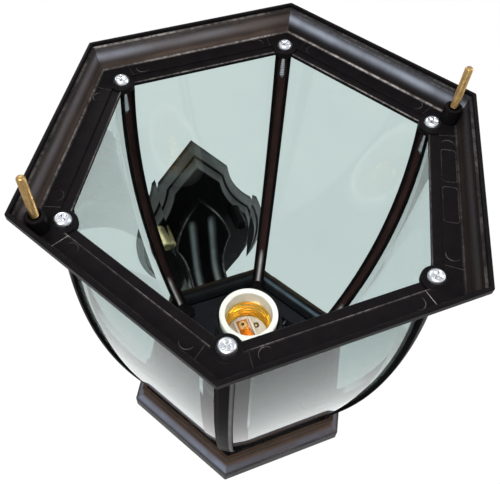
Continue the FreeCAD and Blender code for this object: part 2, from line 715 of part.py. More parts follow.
def make_contact_eyelet():
    bore = EYELET_BORE / 2.0
    shank = bore + EYELET_WALL
    top = HOLDER_FLOOR + CONTACT_SHEET
    eyelet = spun([(bore, HOLDER_RECESS_TOP), (shank, HOLDER_RECESS_TOP), (shank, top),
                   (shank + EYELET_FLANGE, top), (shank + EYELET_FLANGE, top + EYELET_FLANGE_THICKNESS),
                   (bore, top + EYELET_FLANGE_THICKNESS)], 0, eyelet_y())
    return at_lantern(eyelet)


def make_side_rivet():
    radius = SIDE_RIVET_RADIUS
    rivet = spun([(0, HOLDER_RECESS_TOP), (radius / 2.0, HOLDER_RECESS_TOP), (radius / 2.0, HOLDER_FLOOR),
                  (radius, HOLDER_FLOOR), (SIDE_RIVET_FLAT, HOLDER_FLOOR + SIDE_RIVET_DOME, -SIDE_RIVET_BOW),
                  (0, HOLDER_FLOOR + SIDE_RIVET_DOME)],
                 SIDE_RIVET_X, SIDE_RIVET_Y)
    return at_lantern(rivet)


# Nipple, nuts and leads

def make_nipple():
    return at_lantern(rod(NIPPLE_DIAMETER / 2.0, NIPPLE_BOTTOM, NIPPLE_TOP).cut(
        rod(NIPPLE_BORE / 2.0, NIPPLE_BOTTOM, NIPPLE_TOP)))


def nut(low):
    bore = rod(NIPPLE_DIAMETER / 2.0 + THREAD_CLEARANCE, low, low + NUT_HEIGHT)
    return at_lantern(hexagon(NUT_ACROSS_FLATS / 2.0, low, low + NUT_HEIGHT).cut(bore))


def make_nipple_nut_upper():
    return nut(STRAP_TOP)


def make_nipple_nut_lower():
    return nut(CHAMBER_TOP - NUT_HEIGHT)


def make_lead(side):
    x = side * LEAD_SPACING / 2.0
    points = [vec(x, -REACH, HOLDER_RECESS_TOP), vec(x, -REACH, WIREWAY_LEVEL),
              vec(x, -LEAD_END_GAP, WIREWAY_LEVEL)]
    return pipe(points, LEAD_BEND, LEAD_DIAMETER / 2.0)


# Arm

def arm_front(x):
    """Line of the arm's upper face, from the leaf's top down and forward to the hub."""
    front = -PLATE_DEPTH - LEAF_EDGE
    elbow = front - LEAF_SPRING
    return [vec(x, front, LEAF_TOP), vec(x, elbow, ARM_TOP), vec(x, -REACH, ARM_TOP)]


def make_arm():
    wall = -PLATE_DEPTH
    heel = ARM_BOTTOM - ARM_HEEL_DROP
    upper = rounded_path(arm_front(0), ARM_ELBOW_RADIUS)
    toe = vec(0, -REACH, ARM_BOTTOM)
    throat = (-REACH + HUB_RADIUS, ARM_BOTTOM)
    root = (wall, heel)
    belly = arm_view(*bow_point(throat, root, -ARM_HEEL_BOW))
    under = [Part.LineSegment(vec(0, -REACH, ARM_TOP), toe).toShape(),
             Part.LineSegment(toe, arm_view(*throat)).toShape(),
             Part.Arc(arm_view(*throat), belly, arm_view(*root)).toShape(),
             Part.LineSegment(arm_view(*root), vec(0, wall, LEAF_TOP)).toShape(),
             Part.LineSegment(vec(0, wall, LEAF_TOP), vec(0, wall - LEAF_EDGE, LEAF_TOP)).toShape()]
    side = Part.Face(Part.Wire(upper.Edges + under))
    bar = move(side.extrude(vec(2.0 * LEAF_HALF_WIDTH, 0, 0)), -LEAF_HALF_WIDTH, 0, 0)
    waist = ARM_WIDTH / 2.0
    right = [(LEAF_HALF_WIDTH, LEAF_WIDEST, LEAF_BOW), (waist, LEAF_WAIST, -LEAF_WAIST_BOW), (waist, heel)]
    left = [(-waist, heel), (-waist, LEAF_WAIST), (-LEAF_HALF_WIDTH, LEAF_WIDEST, -LEAF_WAIST_BOW),
            (0, LEAF_TOP, LEAF_BOW)]
    leaf = loop(right + left, front_view).extrude(vec(0, -REACH, 0))
    hub = rod(HUB_RADIUS, ARM_BOTTOM, FLOOR_UNDER, 0, -REACH)
    arm = joined([bar.common(leaf), hub])
    cuts = [rod(CHAMBER_RADIUS, ARM_BOTTOM, CHAMBER_TOP, 0, -REACH),
            rod(NIPPLE_DIAMETER / 2.0 + HOLE_CLEARANCE, CHAMBER_TOP, FLOOR_UNDER, 0, -REACH),
            peg(WIREWAY_DIAMETER / 2.0, wall, -REACH, 0, WIREWAY_LEVEL)]
    for x, z in arm_screw_places():
        depth = ARM_SCREW_LENGTH - PLATE_FRONT_WALL + HOLE_CLEARANCE
        cuts.append(peg(SCREW_DIAMETER / 2.0 + THREAD_CLEARANCE, wall, wall - depth, x, z))
    arm = arm.cut(Part.makeCompound(cuts))
    stop = vec(0, HUB_RADIUS + FLUTE_SPACING, 0)
    for x in (-FLUTE_SPACING, FLUTE_SPACING):
        line = arm_front(x)
        over = (line[0] - line[1]).normalize() * LEAF_EDGE
        arm = arm.cut(pipe([line[0] + over, line[1], line[2] + stop], ARM_ELBOW_RADIUS, FLUTE_RADIUS))
    return arm


def arm_screw_places():
    side = ARM_SCREW_SPREAD / 2.0
    return [(-side, ARM_SCREW_UPPER), (side, ARM_SCREW_UPPER), (0.0, ARM_SCREW_LOWER)]


def make_arm_screws():
    screw = machine_screw(ARM_SCREW_LENGTH)
    seat = -PLATE_DEPTH + PLATE_FRONT_WALL
    return Part.makeCompound([to_room(screw, x, seat, z) for x, z in arm_screw_places()])


def make_hub_cap():
    spigot = CHAMBER_RADIUS - HUB_CAP_CLEARANCE
    low = ARM_BOTTOM - HUB_CAP_FLANGE_THICKNESS
    section = [(0, ARM_BOTTOM + HUB_CAP_SPIGOT), (0, low - HUB_CAP_DOME), (HUB_CAP_TIP, low - HUB_CAP_DOME),
               (HUB_CAP_FLANGE, low, -HUB_CAP_BOW), (HUB_CAP_FLANGE, ARM_BOTTOM),
               (spigot, ARM_BOTTOM), (spigot, ARM_BOTTOM + HUB_CAP_SPIGOT)]
    return at_lantern(spun(section))


# Wall plate and bracket

def plate_outline():
    right = [(0, PLATE_PEAK), (PLATE_SHOULDER_X, PLATE_SHOULDER_Z),
             (PLATE_OGEE_X, PLATE_OGEE_Z, -PLATE_OGEE_BOW),
             (PLATE_CHEEK_X, PLATE_CHEEK_Z, PLATE_CHEEK_BOW), (0, PLATE_TIP)]
    left = [(-PLATE_CHEEK_X, PLATE_CHEEK_Z), (-PLATE_OGEE_X, PLATE_OGEE_Z, PLATE_CHEEK_BOW),
            (-PLATE_SHOULDER_X, PLATE_SHOULDER_Z, -PLATE_OGEE_BOW)]
    return loop(right + left, front_view).OuterWire


def plate_ring(inset, y):
    """Outline of the plate drawn in by an inset, at a distance from the wall."""
    wire = plate_outline()
    if inset:
        wire = wire.makeOffset2D(-inset, 2)
    return move(wire, 0, y, 0)


def make_wall_plate():
    edge = Part.Face(plate_ring(0, 0)).extrude(vec(0, -PLATE_EDGE, 0))
    slope = Part.makeLoft([plate_ring(0, -PLATE_EDGE), plate_ring(PLATE_FIRST_INSET, -PLATE_STEP)],
                          True, True)
    rise = Part.makeLoft([plate_ring(PLATE_FIRST_INSET, -PLATE_STEP),
                          plate_ring(PLATE_SECOND_INSET, -PLATE_DEPTH)], True, True)
    plate = joined([edge, slope, rise])
    deep = -PLATE_DEPTH + PLATE_FRONT_WALL
    cuts = [Part.Face(plate_ring(PLATE_HOLLOW_INSET, 0)).extrude(vec(0, deep, 0)),
            peg(WIREWAY_DIAMETER / 2.0, 0, -PLATE_DEPTH, 0, WIREWAY_LEVEL)]
    for x in mount_places():
        cuts.append(peg(MOUNT_BOLT_DIAMETER / 2.0 + HOLE_CLEARANCE, 0, -PLATE_DEPTH, x, 0))
    for x, z in arm_screw_places():
        cuts.append(peg(SCREW_DIAMETER / 2.0 + HOLE_CLEARANCE, 0, -PLATE_DEPTH, x, z))
    return plate.cut(Part.makeCompound(cuts))


def mount_places():
    return [-MOUNT_SPACING / 2.0, MOUNT_SPACING / 2.0]


def wall_hole_places():
    return [WALL_HOLE_SPACING / 2.0, -WALL_HOLE_SPACING / 2.0]


def make_wall_bracket():
    half_bar, half_strap = BRACKET_BAR / 2.0, BRACKET_STRAP_WIDTH / 2.0
    out = MOUNT_SPACING / 2.0 + BRACKET_END_MARGIN
    inner = out - half_bar
    bar = [(-inner, -half_bar, -half_bar), (inner, -half_bar), (inner, half_bar, -half_bar),
           (-inner, half_bar)]
    top, bottom = [z + sign * WALL_HOLE_MARGIN for z, sign in zip(wall_hole_places(), (1, -1))]
    strap = [(-half_strap, bottom), (half_strap, bottom), (half_strap, top), (-half_strap, top)]
    thick = vec(0, -BRACKET_THICKNESS, 0)
    bracket = joined([loop(bar, front_view).extrude(thick), loop(strap, front_view).extrude(thick)])
    holes = [peg(WALL_HOLE_DIAMETER / 2.0, 0, -BRACKET_THICKNESS, 0, z) for z in wall_hole_places()]
    for x in mount_places():
        holes.append(peg(MOUNT_BOLT_DIAMETER / 2.0 + THREAD_CLEARANCE, 0, -BRACKET_THICKNESS, x, 0))
    holes.append(peg(SCREW_DIAMETER / 2.0 + THREAD_CLEARANCE, 0, -BRACKET_THICKNESS, EARTH_SCREW_X, 0))
    holes.append(peg(WIRE_HOLE_DIAMETER / 2.0, 0, -BRACKET_THICKNESS, 0, 0))
    return bracket.cut(Part.makeCompound(holes))


def make_mounting_bolts():
    end = -PLATE_DEPTH - BARREL_NUT_LENGTH + BARREL_NUT_END_WALL
    return Part.makeCompound([peg(MOUNT_BOLT_DIAMETER / 2.0, 0, end, x, 0) for x in mount_places()])


def make_barrel_nuts():
    radius = BARREL_NUT_DIAMETER / 2.0
    depth = BARREL_NUT_LENGTH - BARREL_NUT_END_WALL + HOLE_CLEARANCE
    bore = MOUNT_BOLT_DIAMETER / 2.0 + THREAD_CLEARANCE
    section = [(bore, 0), (radius, 0), (radius, -BARREL_NUT_LENGTH + BARREL_NUT_ROUND),
               (radius - BARREL_NUT_ROUND, -BARREL_NUT_LENGTH, ROUND_BOW * BARREL_NUT_ROUND),
               (0, -BARREL_NUT_LENGTH), (0, -depth), (bore, -depth)]
    barrel = spun(section)
    return Part.makeCompound([to_room(barrel, x, -PLATE_DEPTH, 0) for x in mount_places()])


def make_earth_screw():
    """Screw driven into the bracket from the room side."""
    screw = machine_screw(EARTH_SCREW_LENGTH - SCREW_HEAD_HEIGHT)
    screw.rotate(vec(0, 0, 0), vec(1, 0, 0), 90)
    return move(screw, EARTH_SCREW_X, -BRACKET_THICKNESS, 0)


def build():
    shapes = {
        "top_ring": make_top_ring(),
        "roof_studs": make_roof_studs(),
        "ring_screws": make_ring_screws(),
        "foot": make_foot(),
        "rib_screws": make_rib_screws(),
        "holder_cup": make_holder_cup(),
        "holder_strap": make_holder_strap(),
        "holder_body": make_holder_body(),
        "holder_screws": make_holder_screws(),
        "screw_shell": make_screw_shell(),
        "contact_base": make_contact_base(),
        "contact_tongue": make_contact_tongue(),
        "contact_eyelet": make_contact_eyelet(),
        "side_rivet": make_side_rivet(),
        "nipple": make_nipple(),
        "nipple_nut_upper": make_nipple_nut_upper(),
        "nipple_nut_lower": make_nipple_nut_lower(),
        "lead_live": make_lead(-1),
        "lead_neutral": make_lead(1),
        "arm": make_arm(),
        "arm_screws": make_arm_screws(),
        "hub_cap": make_hub_cap(),
        "wall_plate": make_wall_plate(),
        "wall_bracket": make_wall_bracket(),
        "mounting_bolts": make_mounting_bolts(),
        "barrel_nuts": make_barrel_nuts(),
        "earth_screw": make_earth_screw(),
    }
    for name, angle in CORNERS.items():
        shapes["rib_" + name] = make_rib(angle)
    for name, angle in FLATS.items():
        shapes["pane_" + name] = make_pane(angle)
    return shapes


os.makedirs("parts", exist_ok=True)
for name, shape in build().items():
    solids = shape.Solids
    box = shape.BoundBox
    print(name, len(solids), "valid" if shape.isValid() else "BROKEN", round(shape.Volume),
          [round(v, 1) for v in (box.XMin, box.YMin, box.ZMin, box.XMax, box.YMax, box.ZMax)])
    shape.exportStep("parts/" + name + ".step")
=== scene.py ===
"""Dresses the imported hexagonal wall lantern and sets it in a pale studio.

Every new piece is a surface worked out with numpy in millimetres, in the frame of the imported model
(x to the right, y into the wall, z up), and is scaled to metres when it becomes a mesh.
"""
from __future__ import annotations

import json
import logging
import math
from dataclasses import dataclass, field
from enum import Enum, IntEnum
from typing import Sequence

import bmesh
import bpy
import numpy as np
from mathutils import Matrix, Vector

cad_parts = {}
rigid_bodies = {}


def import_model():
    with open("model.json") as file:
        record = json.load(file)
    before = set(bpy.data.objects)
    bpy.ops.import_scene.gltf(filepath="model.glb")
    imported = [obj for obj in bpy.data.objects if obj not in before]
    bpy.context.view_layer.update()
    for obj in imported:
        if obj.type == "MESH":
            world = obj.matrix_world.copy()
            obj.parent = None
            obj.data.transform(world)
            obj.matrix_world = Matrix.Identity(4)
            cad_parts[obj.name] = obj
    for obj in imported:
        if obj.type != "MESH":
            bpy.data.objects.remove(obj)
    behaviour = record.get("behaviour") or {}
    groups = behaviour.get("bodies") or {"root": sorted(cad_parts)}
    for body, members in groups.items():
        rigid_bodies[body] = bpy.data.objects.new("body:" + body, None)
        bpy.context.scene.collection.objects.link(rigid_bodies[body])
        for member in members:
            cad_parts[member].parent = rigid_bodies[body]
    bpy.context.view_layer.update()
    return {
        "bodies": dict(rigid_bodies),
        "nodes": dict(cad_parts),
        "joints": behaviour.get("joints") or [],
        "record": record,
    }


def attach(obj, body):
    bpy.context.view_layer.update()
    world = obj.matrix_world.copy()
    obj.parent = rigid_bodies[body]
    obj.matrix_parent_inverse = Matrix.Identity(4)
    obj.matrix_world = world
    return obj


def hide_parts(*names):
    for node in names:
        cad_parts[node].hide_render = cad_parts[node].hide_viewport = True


LOG = logging.getLogger("lantern")
MM = 0.001
TURN = 2.0 * math.pi
SIXTH = math.pi / 6.0
SIDES = 6
WELD = 2e-7
Colour = tuple[float, float, float, float]
Pair = tuple[float, float]
Triple = tuple[float, float, float]
Places = tuple[float, float, float, float]


class Body(Enum):
    """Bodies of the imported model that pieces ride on."""

    LANTERN = "lantern"
    CONTACT = "contact"


class Corner(Enum):
    """Corners of the hexagon and their bearing from the lantern's axis, in degrees."""

    LEFT = 180
    BACK_LEFT = 120
    BACK_RIGHT = 60
    RIGHT = 0
    FRONT_RIGHT = -60
    FRONT_LEFT = -120


class Flat(Enum):
    """Flats of the hexagon and their bearing from the lantern's axis, in degrees."""

    BACK = 90
    BACK_RIGHT = 30
    FRONT_RIGHT = -30
    FRONT = -90
    FRONT_LEFT = -150
    BACK_LEFT = 150


class Round(IntEnum):
    """Positions round a turned piece, by its size and how closely it is seen."""

    BORE = 32
    ROD = 40
    TAB = 48
    BOSS = 64
    BARREL = 96
    SCREW = 120
    SHELL = 144


# Surfaces

@dataclass
class Skin:
    """Bare surface in millimetres.

    Attributes:
        points: Points, one row each.
        quads: Four point numbers for each face.
        caps: Point numbers of faces with any number of corners.
        marks: Three numbers a point, each 0 to 1: brown rubbing that is partly a painted reflection, a
            painted
        blue-grey reflection, and worn edges with painted highlight lines.
        run: Two lengths a point, along the path and along the profile.
    """

    points: np.ndarray
    quads: np.ndarray
    caps: list[list[int]] = field(default_factory=list)
    marks: np.ndarray | None = None
    run: np.ndarray | None = None

    def __post_init__(self) -> None:
        """Fills what was not given with zeros."""
        count = len(self.points)
        self.marks = np.zeros((count, 3)) if self.marks is None else self.marks
        self.run = np.zeros((count, 2)) if self.run is None else self.run

    def with_points(self, points: np.ndarray) -> "Skin":
        """Same faces and marks on other points."""
        return Skin(points, self.quads, self.caps, self.marks, self.run)

    def turned(self, degrees: float) -> "Skin":
        """Copy turned about the upright axis through the origin."""
        angle = math.radians(degrees)
        turn = np.array([[math.cos(angle), -math.sin(angle), 0.0],
                         [math.sin(angle), math.cos(angle), 0.0], [0.0, 0.0, 1.0]])
        return self.with_points(self.points @ turn.T)

    def moved(self, x: float, y: float, z: float) -> "Skin":
        """Copy carried by a distance along each axis."""
        return self.with_points(self.points + np.array([x, y, z]))

    def to_room(self) -> "Skin":
        """Copy laid over so that what pointed down points to the room, along -y."""
        x, y, z = self.points.T
        return self.with_points(np.stack([x, z, -y], axis=1))


def joined(skins: Sequence[Skin]) -> Skin:
    """Puts several surfaces into one without welding them.

    Args:
        skins: Surfaces to gather.

    Returns:
        One surface with every point and face.
    """
    starts = np.cumsum([0] + [len(skin.points) for skin in skins[:-1]]).tolist()
    quads = [skin.quads + start for skin, start in zip(skins, starts)]
    caps = [[corner + start for corner in cap] for skin, start in zip(skins, starts) for cap in skin.caps]
    return Skin(np.vstack([skin.points for skin in skins]), np.vstack(quads), caps,
                np.vstack([skin.marks for skin in skins]), np.vstack([skin.run for skin in skins]))


def outline(corners: Sequence[tuple[float, ...]], steps: int = 12) -> np.ndarray:
    """Closed outline through corners; a third number bows the side that arrives there.

    A bowed side is its chord plus 4 s (1 - s) times the bow, to the left of the way it runs.

    Args:
        corners: Rows of two or three numbers.
        steps: Straight pieces in each bowed side.

    Returns:
        Points of the outline, one row each.
    """
    rows = []
    for start, end in zip([corners[-1], *corners[:-1]], corners):
        first, last = np.array(start[:2], float), np.array(end[:2], float)
        if len(end) < 3:
            rows.append(last[None, :])
            continue
        share = np.linspace(0.0, 1.0, steps + 1)[1:, None]
        chord = last - first
        left = np.array([-chord[1], chord[0]]) / np.linalg.norm(chord)
        rows.append(first + chord * share + left * (4.0 * end[2]) * share * (1.0 - share))
    return np.vstack(rows)


def rectangle(low: Sequence[float], high: Sequence[float]) -> np.ndarray:
    """Four corners of a rectangle, anticlockwise from its lowest one."""
    return np.array([(low[0], low[1]), (high[0], low[1]), (high[0], high[1]), (low[0], high[1])])


def softened(points: np.ndarray, radius: float, steps: int = 3, guard: float = 0.25,
             closed: bool = True) -> np.ndarray:
    """Rounds the corners of an outline with short curves, leaving gentle bends alone.

    Each corner p becomes (1-s)^2 a + 2 s (1-s) p + s^2 b between points a and b on its two sides, with one
    guard point before and after that keeps the flats flat in the shading.

    Args:
        points: Outline, one point a row.
        radius: Wanted radius of the corners.
        steps: Straight pieces in each corner.
        guard: Distance of the guard points from the curve.
        closed: Whether the last point joins the first.

    Returns:
        Outline with rounded corners.
    """
    gentle, narrow, curve_share, guard_share = math.radians(83.0), 0.05, 0.3, 0.15
    shortest, nothing = 1e-5, 1e-12
    before, after = np.roll(points, 1, axis=0) - points, np.roll(points, -1, axis=0) - points
    length_before = np.linalg.norm(before, axis=1, keepdims=True) + nothing
    length_after = np.linalg.norm(after, axis=1, keepdims=True) + nothing
    before, after = before / length_before, after / length_after
    half = np.arccos(np.clip(np.sum(before * after, axis=1, keepdims=True), -1.0, 1.0)) / 2.0
    sharp = (half < gentle).astype(float)
    if not closed:
        sharp[[0, -1]] = 0.0
    room = curve_share * np.minimum(length_before, length_after)
    reach = np.minimum(radius / np.tan(np.maximum(half, narrow)), room) * sharp
    first, last = points + before * reach, points + after * reach
    s = np.linspace(0.0, 1.0, steps + 1)[None, :, None]
    curve = (1 - s) ** 2 * first[:, None] + 2 * s * (1 - s) * points[:, None] + s ** 2 * last[:, None]
    lead = points + before * (reach + np.minimum(guard, guard_share * length_before) * sharp)
    tail = points + after * (reach + np.minimum(guard, guard_share * length_after) * sharp)
    rows = np.concatenate([lead[:, None], curve, tail[:, None]], axis=1).reshape(-1, 2)
    keep = np.linalg.norm(rows - np.roll(rows, 1, axis=0), axis=1) > shortest
    keep[0] = True
    return rows[keep]


def divided(points: np.ndarray, step: float) -> np.ndarray:
    """Divides the sides of a closed outline evenly so that none is longer than a step.

    Args:
        points: Outline, one point a row.
        step: Longest side allowed.

    Returns:
        Outline with the added points.
    """
    ahead = np.roll(points, -1, axis=0) - points
    count = np.maximum(np.ceil(np.linalg.norm(ahead, axis=1) / step).astype(int), 1)
    owner = np.repeat(np.arange(len(points)), count)
    place = np.arange(count.sum()) - np.repeat(np.cumsum(count) - count, count)
    return points[owner] + ahead[owner] * (place / count[owner])[:, None]


def ramp(value: np.ndarray, low: float, high: float) -> np.ndarray:
    """0 below a low value, 1 above a high one and a straight line between; high may be the smaller."""
    return np.clip((value - low) / (high - low), 0.0, 1.0)


def plateau(value: np.ndarray, places: Places) -> np.ndarray:
    """Rises from 0 to 1 between the first two places and falls back between the last two."""
    return ramp(value, places[0], places[1]) * ramp(value, places[3], places[2])


def bell(value: np.ndarray, middle: float, width: float) -> np.ndarray:
    """1 at a middle value and less on either side: exp(-((value - middle) / width)^2)."""
    return np.exp(-((value - middle) / width) ** 2)


def lengths(points: np.ndarray) -> np.ndarray:
    """Distance along a line of points from its first one."""
    steps = np.linalg.norm(np.diff(points, axis=0), axis=1)
    return np.concatenate([[0.0], np.cumsum(steps)])


def square_to(path: np.ndarray) -> np.ndarray:
    """Unit directions to the left of a flat line of points, one at each point."""
    tangent = np.gradient(path, axis=0)
    tangent /= np.linalg.norm(tangent, axis=1, keepdims=True)
    return np.stack([-tangent[:, 1], tangent[:, 0]], axis=1)


def around(steps: int) -> np.ndarray:
    """Even bearings round one turn, in radians."""
    return np.linspace(0.0, TURN, steps, endpoint=False)


def polar(radius: np.ndarray, angle: np.ndarray, height: np.ndarray) -> np.ndarray:
    """Points at a distance from the upright axis, a bearing and a height, each spread over the others."""
    return np.stack(np.broadcast_arrays(radius * np.cos(angle), radius * np.sin(angle), height), axis=-1)


def woven(grid: np.ndarray, wrap_rows: bool = False, wrap_columns: bool = False, cap_rows: bool = False,
          marks: np.ndarray | None = None) -> Skin:
    """Turns a grid of points into a surface.

    Args:
        grid: Array of rows, columns and three coordinates.
        wrap_rows: Whether the last row joins the first.
        wrap_columns: Whether the last column joins the first.
        cap_rows: Whether the first and last row are closed by one face each.
        marks: Marks of the finish, three a grid point.

    Returns:
        The surface, with lengths along rows and columns in its run.
    """
    rows, columns = grid.shape[:2]
    index = np.arange(rows * columns).reshape(rows, columns)
    caps = [index[0].tolist(), index[-1, ::-1].tolist()] if cap_rows else []
    if wrap_rows:
        index = np.vstack([index, index[:1]])
    if wrap_columns:
        index = np.hstack([index, index[:, :1]])
    quads = np.stack([index[:-1, :-1], index[1:, :-1], index[1:, 1:], index[:-1, 1:]], axis=-1).reshape(-1, 4)
    along, across = lengths(grid[:, columns // 2])[:, None], lengths(grid[rows // 2])[None, :]
    run = np.stack(np.broadcast_arrays(along, across), axis=-1).reshape(-1, 2)
    flat = None if marks is None else np.broadcast_to(marks, (rows, columns, 3)).reshape(-1, 3)
    return Skin(grid.reshape(-1, 3), quads, caps, flat, run)


def hexagon_sweep(profile: np.ndarray, corner_radius: float, marks: np.ndarray, steps: int = 4) -> Skin:
    """Carries a profile round the hexagon, with a small radius at each mitre.

    A profile point at distance a from the axis, square to a flat, runs along a hexagon of that apothem whose
    corners are arcs of the corner radius about points at (a - radius) / cos 30 degrees.

    Args:
        profile: Rows of apothem and height.
        corner_radius: Radius of the mitres.
        marks: Marks of the finish at both ends of the six flats, anticlockwise from the back right one:
            flats, ends, profile points, three marks.
        steps: Straight pieces in each arc.

    Returns:
        Closed ring of the profile.
    """
    arc_share, guard_share, nudge = 0.4, 0.4, 1e-6
    apothem, height = profile.T
    radius = np.minimum(corner_radius, arc_share * apothem)
    centre = (apothem - radius) / math.cos(SIXTH)
    bearing = np.arange(SIDES)[:, None] * 2.0 * SIXTH
    swing = bearing + np.linspace(-SIXTH, SIXTH, steps + 1)[None, :]
    x = centre * np.cos(bearing)[:, :, None] + radius * np.cos(swing)[:, :, None]
    y = centre * np.sin(bearing)[:, :, None] + radius * np.sin(swing)[:, :, None]
    guard, lead, tail = guard_share * radius, swing[:, :1, None], swing[:, -1:, None]
    x = np.concatenate([x[:, :1] + guard * np.sin(lead), x, x[:, -1:] - guard * np.sin(tail)], axis=1)
    y = np.concatenate([y[:, :1] - guard * np.cos(lead), y, y[:, -1:] + guard * np.cos(tail)], axis=1)
    grid = np.stack([x, y, np.broadcast_to(height, x.shape)], axis=-1).reshape(-1, len(profile), 3)
    grid = np.roll(grid, -(steps // 2 + 1), axis=0)
    outermost = grid[:, int(np.argmax(apothem))]
    turn = np.degrees(np.arctan2(outermost[:, 1], outermost[:, 0])) % 360.0 / (360.0 / SIDES) + nudge
    side, end = np.floor(turn).astype(int) % SIDES, (turn % 1.0 > 0.5).astype(int)
    return woven(grid, wrap_rows=True, wrap_columns=True, marks=marks[side, end])


def lathe(profile: np.ndarray, steps: int, closed: bool = True) -> Skin:
    """Turns a profile of radius and height about the upright axis.

    Args:
        profile: Rows of radius and height.
        steps: Positions round the axis.
        closed: Whether the profile joins itself; an open one starts and ends on the axis.

    Returns:
        Surface of revolution about the origin's upright axis.
    """
    radius, height = profile.T
    return woven(polar(radius, around(steps)[:, None], height), wrap_rows=True, wrap_columns=closed)


def plug(radius: float, low: float, high: float, steps: int, soft: float = 0.0, taper: float = 0.0) -> Skin:
    """Solid round block about the upright axis.

    Args:
        radius: Radius at its lower end.
        low: Level of the lower end.
        high: Level of the upper end.
        steps: Positions round the axis.
        soft: Radius of its edges.
        taper: How much smaller the upper end's radius is.

    Returns:
        The closed block.
    """
    profile = np.array([(0.0, low), (radius, low), (radius - taper, high), (0.0, high)])
    return lathe(softened(profile, soft, closed=False) if soft > 0.0 else profile, steps, closed=False)


def slab(front: np.ndarray, back: np.ndarray, marks: np.ndarray | None = None) -> Skin:
    """Closes two grids of the same shape into one solid by a strip round their edges.

    Args:
        front: Grid of points on one face.
        back: Grid of points on the other face.
        marks: Marks of the finish on the front, three a grid point.

    Returns:
        The closed surface.
    """
    rows, columns = front.shape[:2]
    near, far = woven(front, marks=marks), woven(back)
    index = np.arange(rows * columns).reshape(rows, columns)
    edge = np.concatenate([index[0, :-1], index[:-1, -1], index[-1, :0:-1], index[:0:-1, 0]])
    ahead = np.roll(edge, -1)
    shift = rows * columns
    strip = np.stack([edge, ahead, ahead + shift, edge + shift], axis=-1)
    return Skin(np.vstack([near.points, far.points]),
                np.vstack([near.quads, far.quads[:, ::-1] + shift, strip]),
                marks=np.vstack([near.marks, far.marks]), run=np.vstack([near.run, far.run]))


def bar(low: Sequence[float], high: Sequence[float], radius: float) -> Skin:
    """Upright block between two corners, with rounded upright edges and softened ends.

    The plan is a rounded rectangle; near each end it draws in by a quarter circle of the radius.

    Args:
        low: Lowest corner.
        high: Highest corner.
        radius: Radius of the edges.

    Returns:
        The closed block.
    """
    steps = 4
    plan = softened(rectangle(low, high), radius, steps)
    first, last = np.array(low[:2]), np.array(high[:2])
    middle, half = (first + last) / 2.0, (last - first) / 2.0
    quarter = np.linspace(0.0, math.pi / 2.0, steps + 1)
    drawn, eased = radius * (1 - np.sin(quarter)), radius * (1 - np.cos(quarter))
    inset = np.concatenate([drawn, eased])
    level = np.concatenate([low[2] + eased, high[2] - drawn])
    share = 1.0 - inset[:, None] / half[None, :]
    grid = np.concatenate([middle + (plan - middle)[None] * share[:, None, :],
                           np.broadcast_to(level[:, None, None], (len(level), len(plan), 1))], axis=-1)
    return woven(grid, wrap_columns=True, cap_rows=True)


# Shared sizes

@dataclass(frozen=True)
class Sizes:
    """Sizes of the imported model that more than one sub-assembly follows, in millimetres."""

    reach: float = 107.0
    rim_top: float = 165.0
    flange_top: float = 152.0
    flange_under: float = 149.0
    apron_bottom: float = 146.0
    belly: float = 107.0
    foot_top: float = -28.8
    foot_bottom: float = -50.0
    floor_top: float = -35.8
    floor_under: float = -39.8
    rim_out: float = 90.0
    flange_out: float = 84.1
    opening: float = 72.0
    screw_circle: float = 84.578
    stud_circle: float = 93.811
    tab_circle: float = 50.50
    pane_middle: float = 76.0
    pane_thickness: float = 3.0
    pane_arc: float = 423.0
    pane_gap: float = 2.9
    pane_play: float = 0.3
    rib_arc: float = 369.913
    rib_middle: float = 87.757
    rib_width: float = 8.0
    rib_web: float = 5.2
    rib_flange: float = 0.8
    rib_crown: float = 0.4
    rib_clearance: float = 0.4
    holder_top: float = 24.9
    holder_floor: float = -3.1
    arm_top: float = -54.0
    arm_bottom: float = -75.0
    plate_depth: float = 11.0

    def pane_apothem(self, height: np.ndarray, offset: np.ndarray | float) -> np.ndarray:
        """Distance of a pane from the axis: an arc about a level axis, offset square to the glass."""
        drop = height - self.belly
        return self.pane_middle - self.pane_arc + np.sqrt((self.pane_arc + offset) ** 2 - drop ** 2)

    def rib_reach(self, height: np.ndarray, place: np.ndarray | float) -> np.ndarray:
        """Distance from the axis at a height of a rib point whose distance at the belly is place."""
        arc = self.rib_arc + place - self.rib_middle
        return self.rib_middle - self.rib_arc + np.sqrt(arc ** 2 - (height - self.belly) ** 2)

    @property
    def rib_inner(self) -> float:
        """Distance from the axis, at the belly, of the corner where the inner faces of two panes meet."""
        return (self.pane_middle - self.pane_thickness / 2.0 - self.pane_play) / math.cos(SIXTH)

    @property
    def rib_outer(self) -> float:
        """Distance from the axis, at the belly, of the corner where the outer faces of two panes meet."""
        return (self.pane_middle + self.pane_thickness / 2.0 + self.pane_play) / math.cos(SIXTH)

    def rib_flat(self, height: float) -> float:
        """Distance, square to a flat, that clears the ribs at a height."""
        half = self.rib_width / 2.0
        place = self.rib_outer + self.rib_flange / math.cos(SIXTH) - math.tan(SIXTH) * half
        radius = (half ** 2 + self.rib_crown ** 2) / (2.0 * self.rib_crown)
        bulge = radius - (radius - self.rib_crown) * math.cos(SIXTH)
        edge = float(self.rib_reach(np.array(height), place))
        return edge * math.cos(SIXTH) + bulge + self.rib_clearance


SIZES = Sizes()


# Shader building

